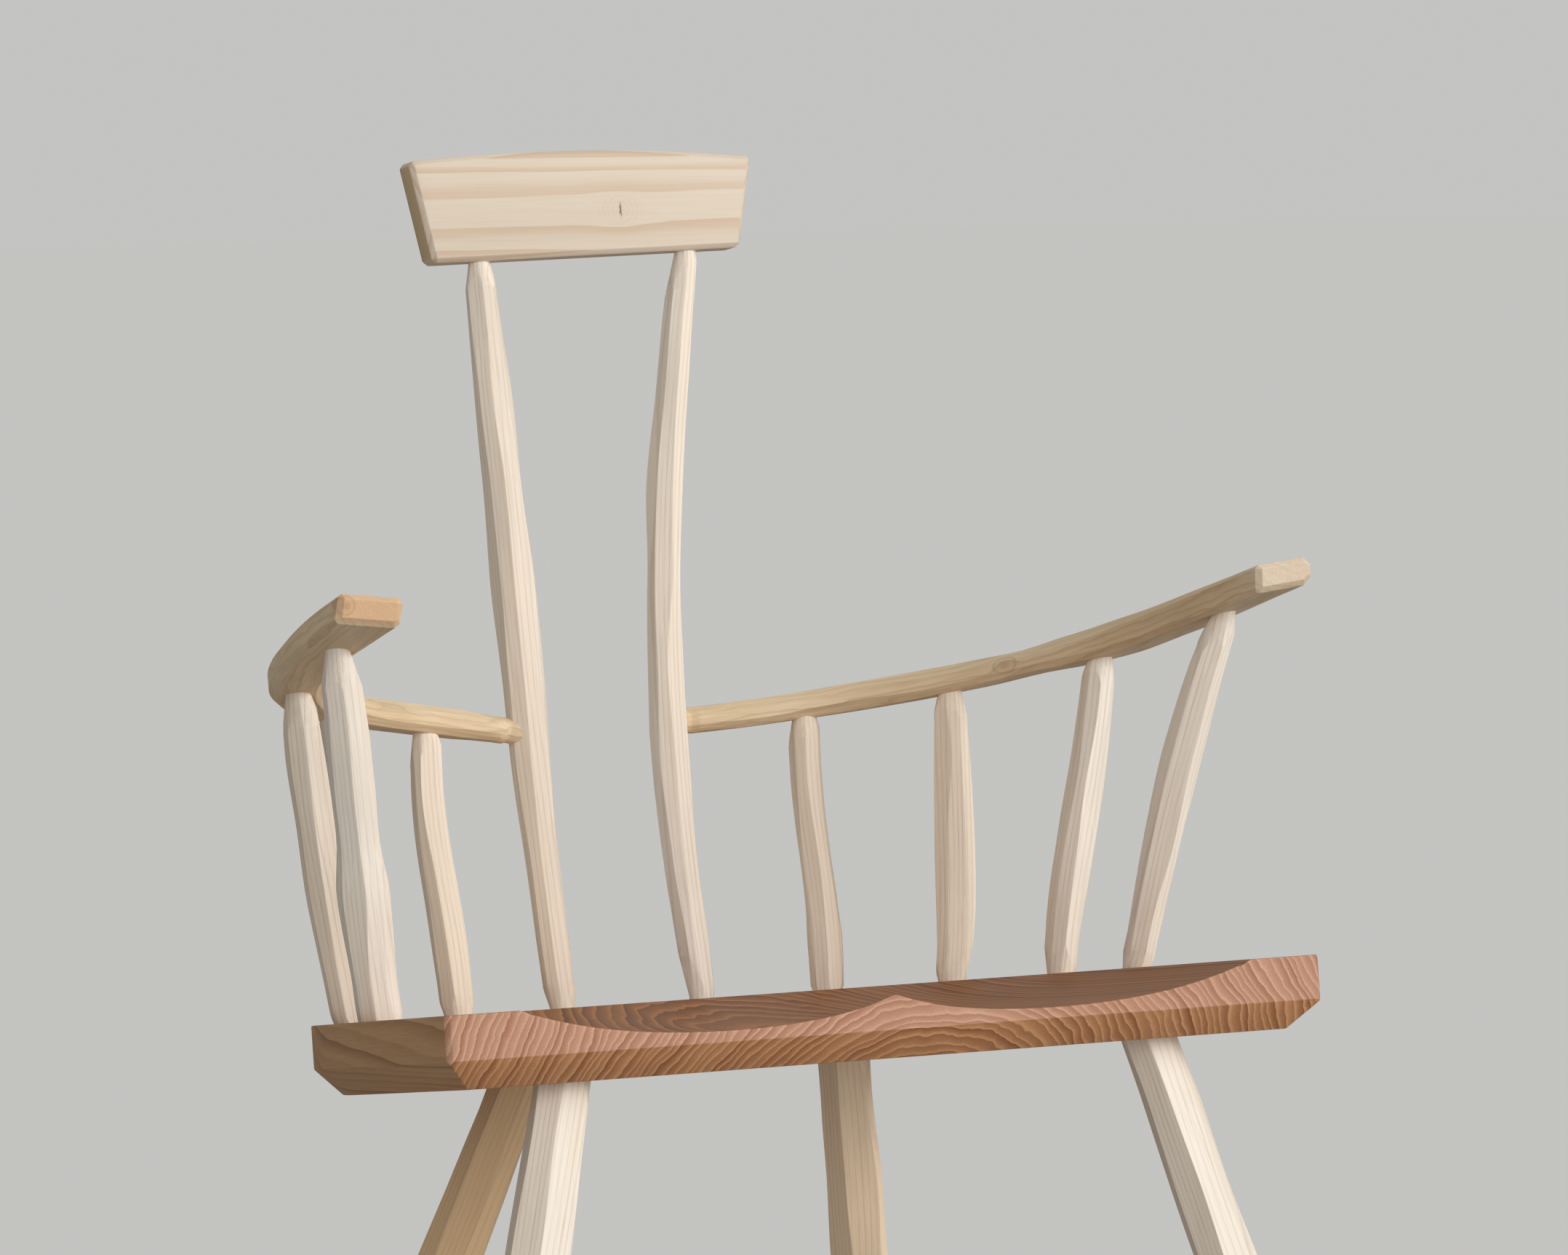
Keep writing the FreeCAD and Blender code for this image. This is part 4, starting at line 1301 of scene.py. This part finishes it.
# Wood of the crest: pale, with soft warm bands along it
crest_wood_colour = srgb(222, 208, 189)
crest_wood_band = srgb(203, 172, 142)
crest_wood_fibre = srgb(188, 162, 134)
crest_wood_end = srgb(196, 168, 128)
crest_wood_worn = srgb(232, 220, 203)
crest_crack_colour = srgb(118, 98, 80)
crest_crack_width = 0.0011
crest_crack_length = 0.0055
crest_crack_jag = 0.0016
crest_crack_strength = 0.85
crest_band_strength = 0.85
crest_knot_ring_width = 0.0032
crest_knot_height = 0.514
crest_knot_place = on_seat(0.0243, crest_middle_back - crest_thickness / 2, crest_knot_height)
crest_pith = on_seat(0, crest_middle_back + 0.049, crest_knot_height)
crest_pith_turn = (0, math.pi / 2 + math.radians(0.2), 0)
crest_knot = in_grain(crest_knot_place, crest_pith, crest_pith_turn)
crest_wood, tree, shader = new_material("crest_board_wood")
coords = object_place(tree)
grain = place_from(tree, coords, crest_pith, crest_pith_turn)
rings = use_group(tree, rings_group, {
    "Place": grain, "Along": straight_grain, "Ring Width": 0.004345, "Waver": 0.0019, "Uneven": 0,
    "Knot": crest_knot, "Knot Size": 0.013})
band = ramp(tree, rings["Ring"],
            [(0.0, 0.0), (0.03, 0.9), (0.2, 0.75), (0.45, 0.2), (0.7, 0.05), (1.0, 0.0)])
band = maths(tree, "MULTIPLY", band, summed(tree, 0.45, (rings["Shade"], 0.7)))

# The knot is pale and round, with a short upright crack in its middle
near_knot = place_from(tree, coords, crest_knot_place, (-seat_tilt, 0, 0))
knot_rings = maths(tree, "DIVIDE", vectors(tree, "LENGTH", near_knot), crest_knot_ring_width)
knot_rings = ramp(tree, maths(tree, "FRACT", knot_rings), [(0.3, 0), (0.8, 0.14)])
knot_rings = maths(tree, "MULTIPLY", knot_rings, ramp(tree, rings["Knot"], [(0.45, 0), (0.7, 1)]))
crack_place = add_node(tree, "SeparateXYZ", {"Vector": near_knot}).outputs
jagged = maths(tree, "SUBTRACT", noise(tree, coords, scale=420, detail=2), 0.5)
aside = summed(tree, crack_place["X"], (jagged, crest_crack_jag))
crack = 1
for offset, reach, stops in ((aside, crest_crack_width, [(0.25, 1), (0.8, 0)]),
                             (crack_place["Z"], crest_crack_length, [(0.3, 1), (1, 0)]),
                             (crack_place["Y"], crest_crack_length, [(0.5, 1), (1, 0)])):
    away = maths(tree, "DIVIDE", maths(tree, "ABSOLUTE", offset), reach)
    crack = maths(tree, "MULTIPLY", crack, ramp(tree, away, stops))

# The board's ends show their darker end grain
facing = add_node(tree, "NewGeometry", {}).outputs["Normal"]
endward = maths(tree, "ABSOLUTE", add_node(tree, "SeparateXYZ", {"Vector": facing}).outputs["X"])
colour = layered(tree, crest_wood_colour, [
    (maths(tree, "MULTIPLY", band, crest_band_strength), crest_wood_band),
    (ramp(tree, rings["Fibre"], [(0.3, 0.14), (0.6, 0)]), crest_wood_fibre),
    (knot_rings, crest_wood_band),
    (maths(tree, "MULTIPLY", crack, crest_crack_strength), crest_crack_colour),
    (ramp(tree, endward, [(0.75, 0), (0.9, 0.8)]), crest_wood_end),
    (worn_edges(tree, coords, reach=0.002, share=0.5), crest_wood_worn)])
roughness = summed(tree, 0.45, (rings["Fibre"], 0.18))
height = summed(tree, 0, (rings["Fibre"], 0.3), (band, 0.2), (crack, -2))
set_finish(tree, shader, colour, roughness, height, bump_distance=0.0003)
hand_over(crest, crest_wood, "crest_wood", "crest_rail")


# Floor, light and camera: a plain pale floor, a broad soft light from the right of the front,
# a weaker one from the front and a weak one from behind, with an even fill all round.
# The camera stands to the left of the front, a little above the crest rail.
floor_colour = srgb(172, 172, 170)
floor_shown = srgb(222, 222, 220)
floor_roughness = 0.9
floor_lift = 0.6
floor_reach = 80
fill_strength = 0.3
fill_colour = srgb(250, 245, 238)
camera_place = (-1.8748, -4.0963, 0.9649)
camera_turn = math.radians(24.908)
camera_dip = math.radians(4.2486)
camera_roll = math.radians(0.735)
camera_lens = 166.97
camera_film = 36
camera_sight = 200

# Strength, turn to the right of the front, height and softness of each light, in degrees
LIGHTS = {"window": (1.9, 53, 17, 40), "front": (1.3, -14, 14, 40), "back": (0.5, 165, 45, 70)}
floor_light = fill_strength
for name, (strength, turn, rise, softness) in LIGHTS.items():
    bpy.ops.object.light_add(type="SUN", rotation=(math.radians(90 - rise), 0, math.radians(turn)))
    lamp = bpy.context.object
    lamp.name = name + "_light"
    lamp.data.energy = strength
    lamp.data.angle = math.radians(softness)
    floor_light += strength * math.sin(math.radians(rise)) / math.pi

bpy.ops.mesh.primitive_plane_add(size=floor_reach, location=(0, 0, 0))
floor = named("floor")
floor_material, tree, shader = new_material("pale_floor")
shader.inputs["Base Color"].default_value = floor_colour
shader.inputs["Roughness"].default_value = floor_roughness
shader.inputs["Specular IOR Level"].default_value = 0
glow = add_node(tree, "Emission", {"Color": floor_shown})
seen = maths(tree, "MULTIPLY", add_node(tree, "LightPath", {}).outputs["Is Camera Ray"], floor_lift)
shown = add_node(tree, "MixShader", {0: seen, 1: shader.outputs["BSDF"], 2: glow.outputs["Emission"]})
tree.links.new(shown.outputs["Shader"], tree.nodes["Material Output"].inputs["Surface"])
floor.data.materials.append(floor_material)

# Past the floor's end the camera sees the same shade as the lit floor
world = bpy.data.worlds.new("soft_room")
world.use_nodes = True
bpy.context.scene.world = world
tree = world.node_tree
background = tree.nodes["Background"]
background.inputs["Color"].default_value = fill_colour
background.inputs["Strength"].default_value = fill_strength
horizon = [lit * floor_light * (1 - floor_lift) + shown * floor_lift
           for lit, shown in zip(floor_colour[:3], floor_shown[:3])]
beyond = add_node(tree, "Background", {"Color": (*horizon, 1)})
shown = add_node(tree, "MixShader", {0: add_node(tree, "LightPath", {}).outputs["Is Camera Ray"],
                                     1: background.outputs["Background"], 2: beyond.outputs["Background"]})
tree.links.new(shown.outputs["Shader"], tree.nodes["World Output"].inputs["Surface"])

bpy.ops.object.camera_add(location=camera_place)
camera = bpy.context.object
camera.data.lens = camera_lens
camera.data.sensor_width = camera_film
camera.data.clip_end = camera_sight
aim = (Matrix.Rotation(-camera_turn, 3, "Z") @ Matrix.Rotation(math.pi / 2 - camera_dip, 3, "X")
       @ Matrix.Rotation(-camera_roll, 3, "Z"))
camera.rotation_euler = aim.to_euler()
bpy.context.scene.camera = camera
bpy.context.scene.view_settings.view_transform = "Standard"
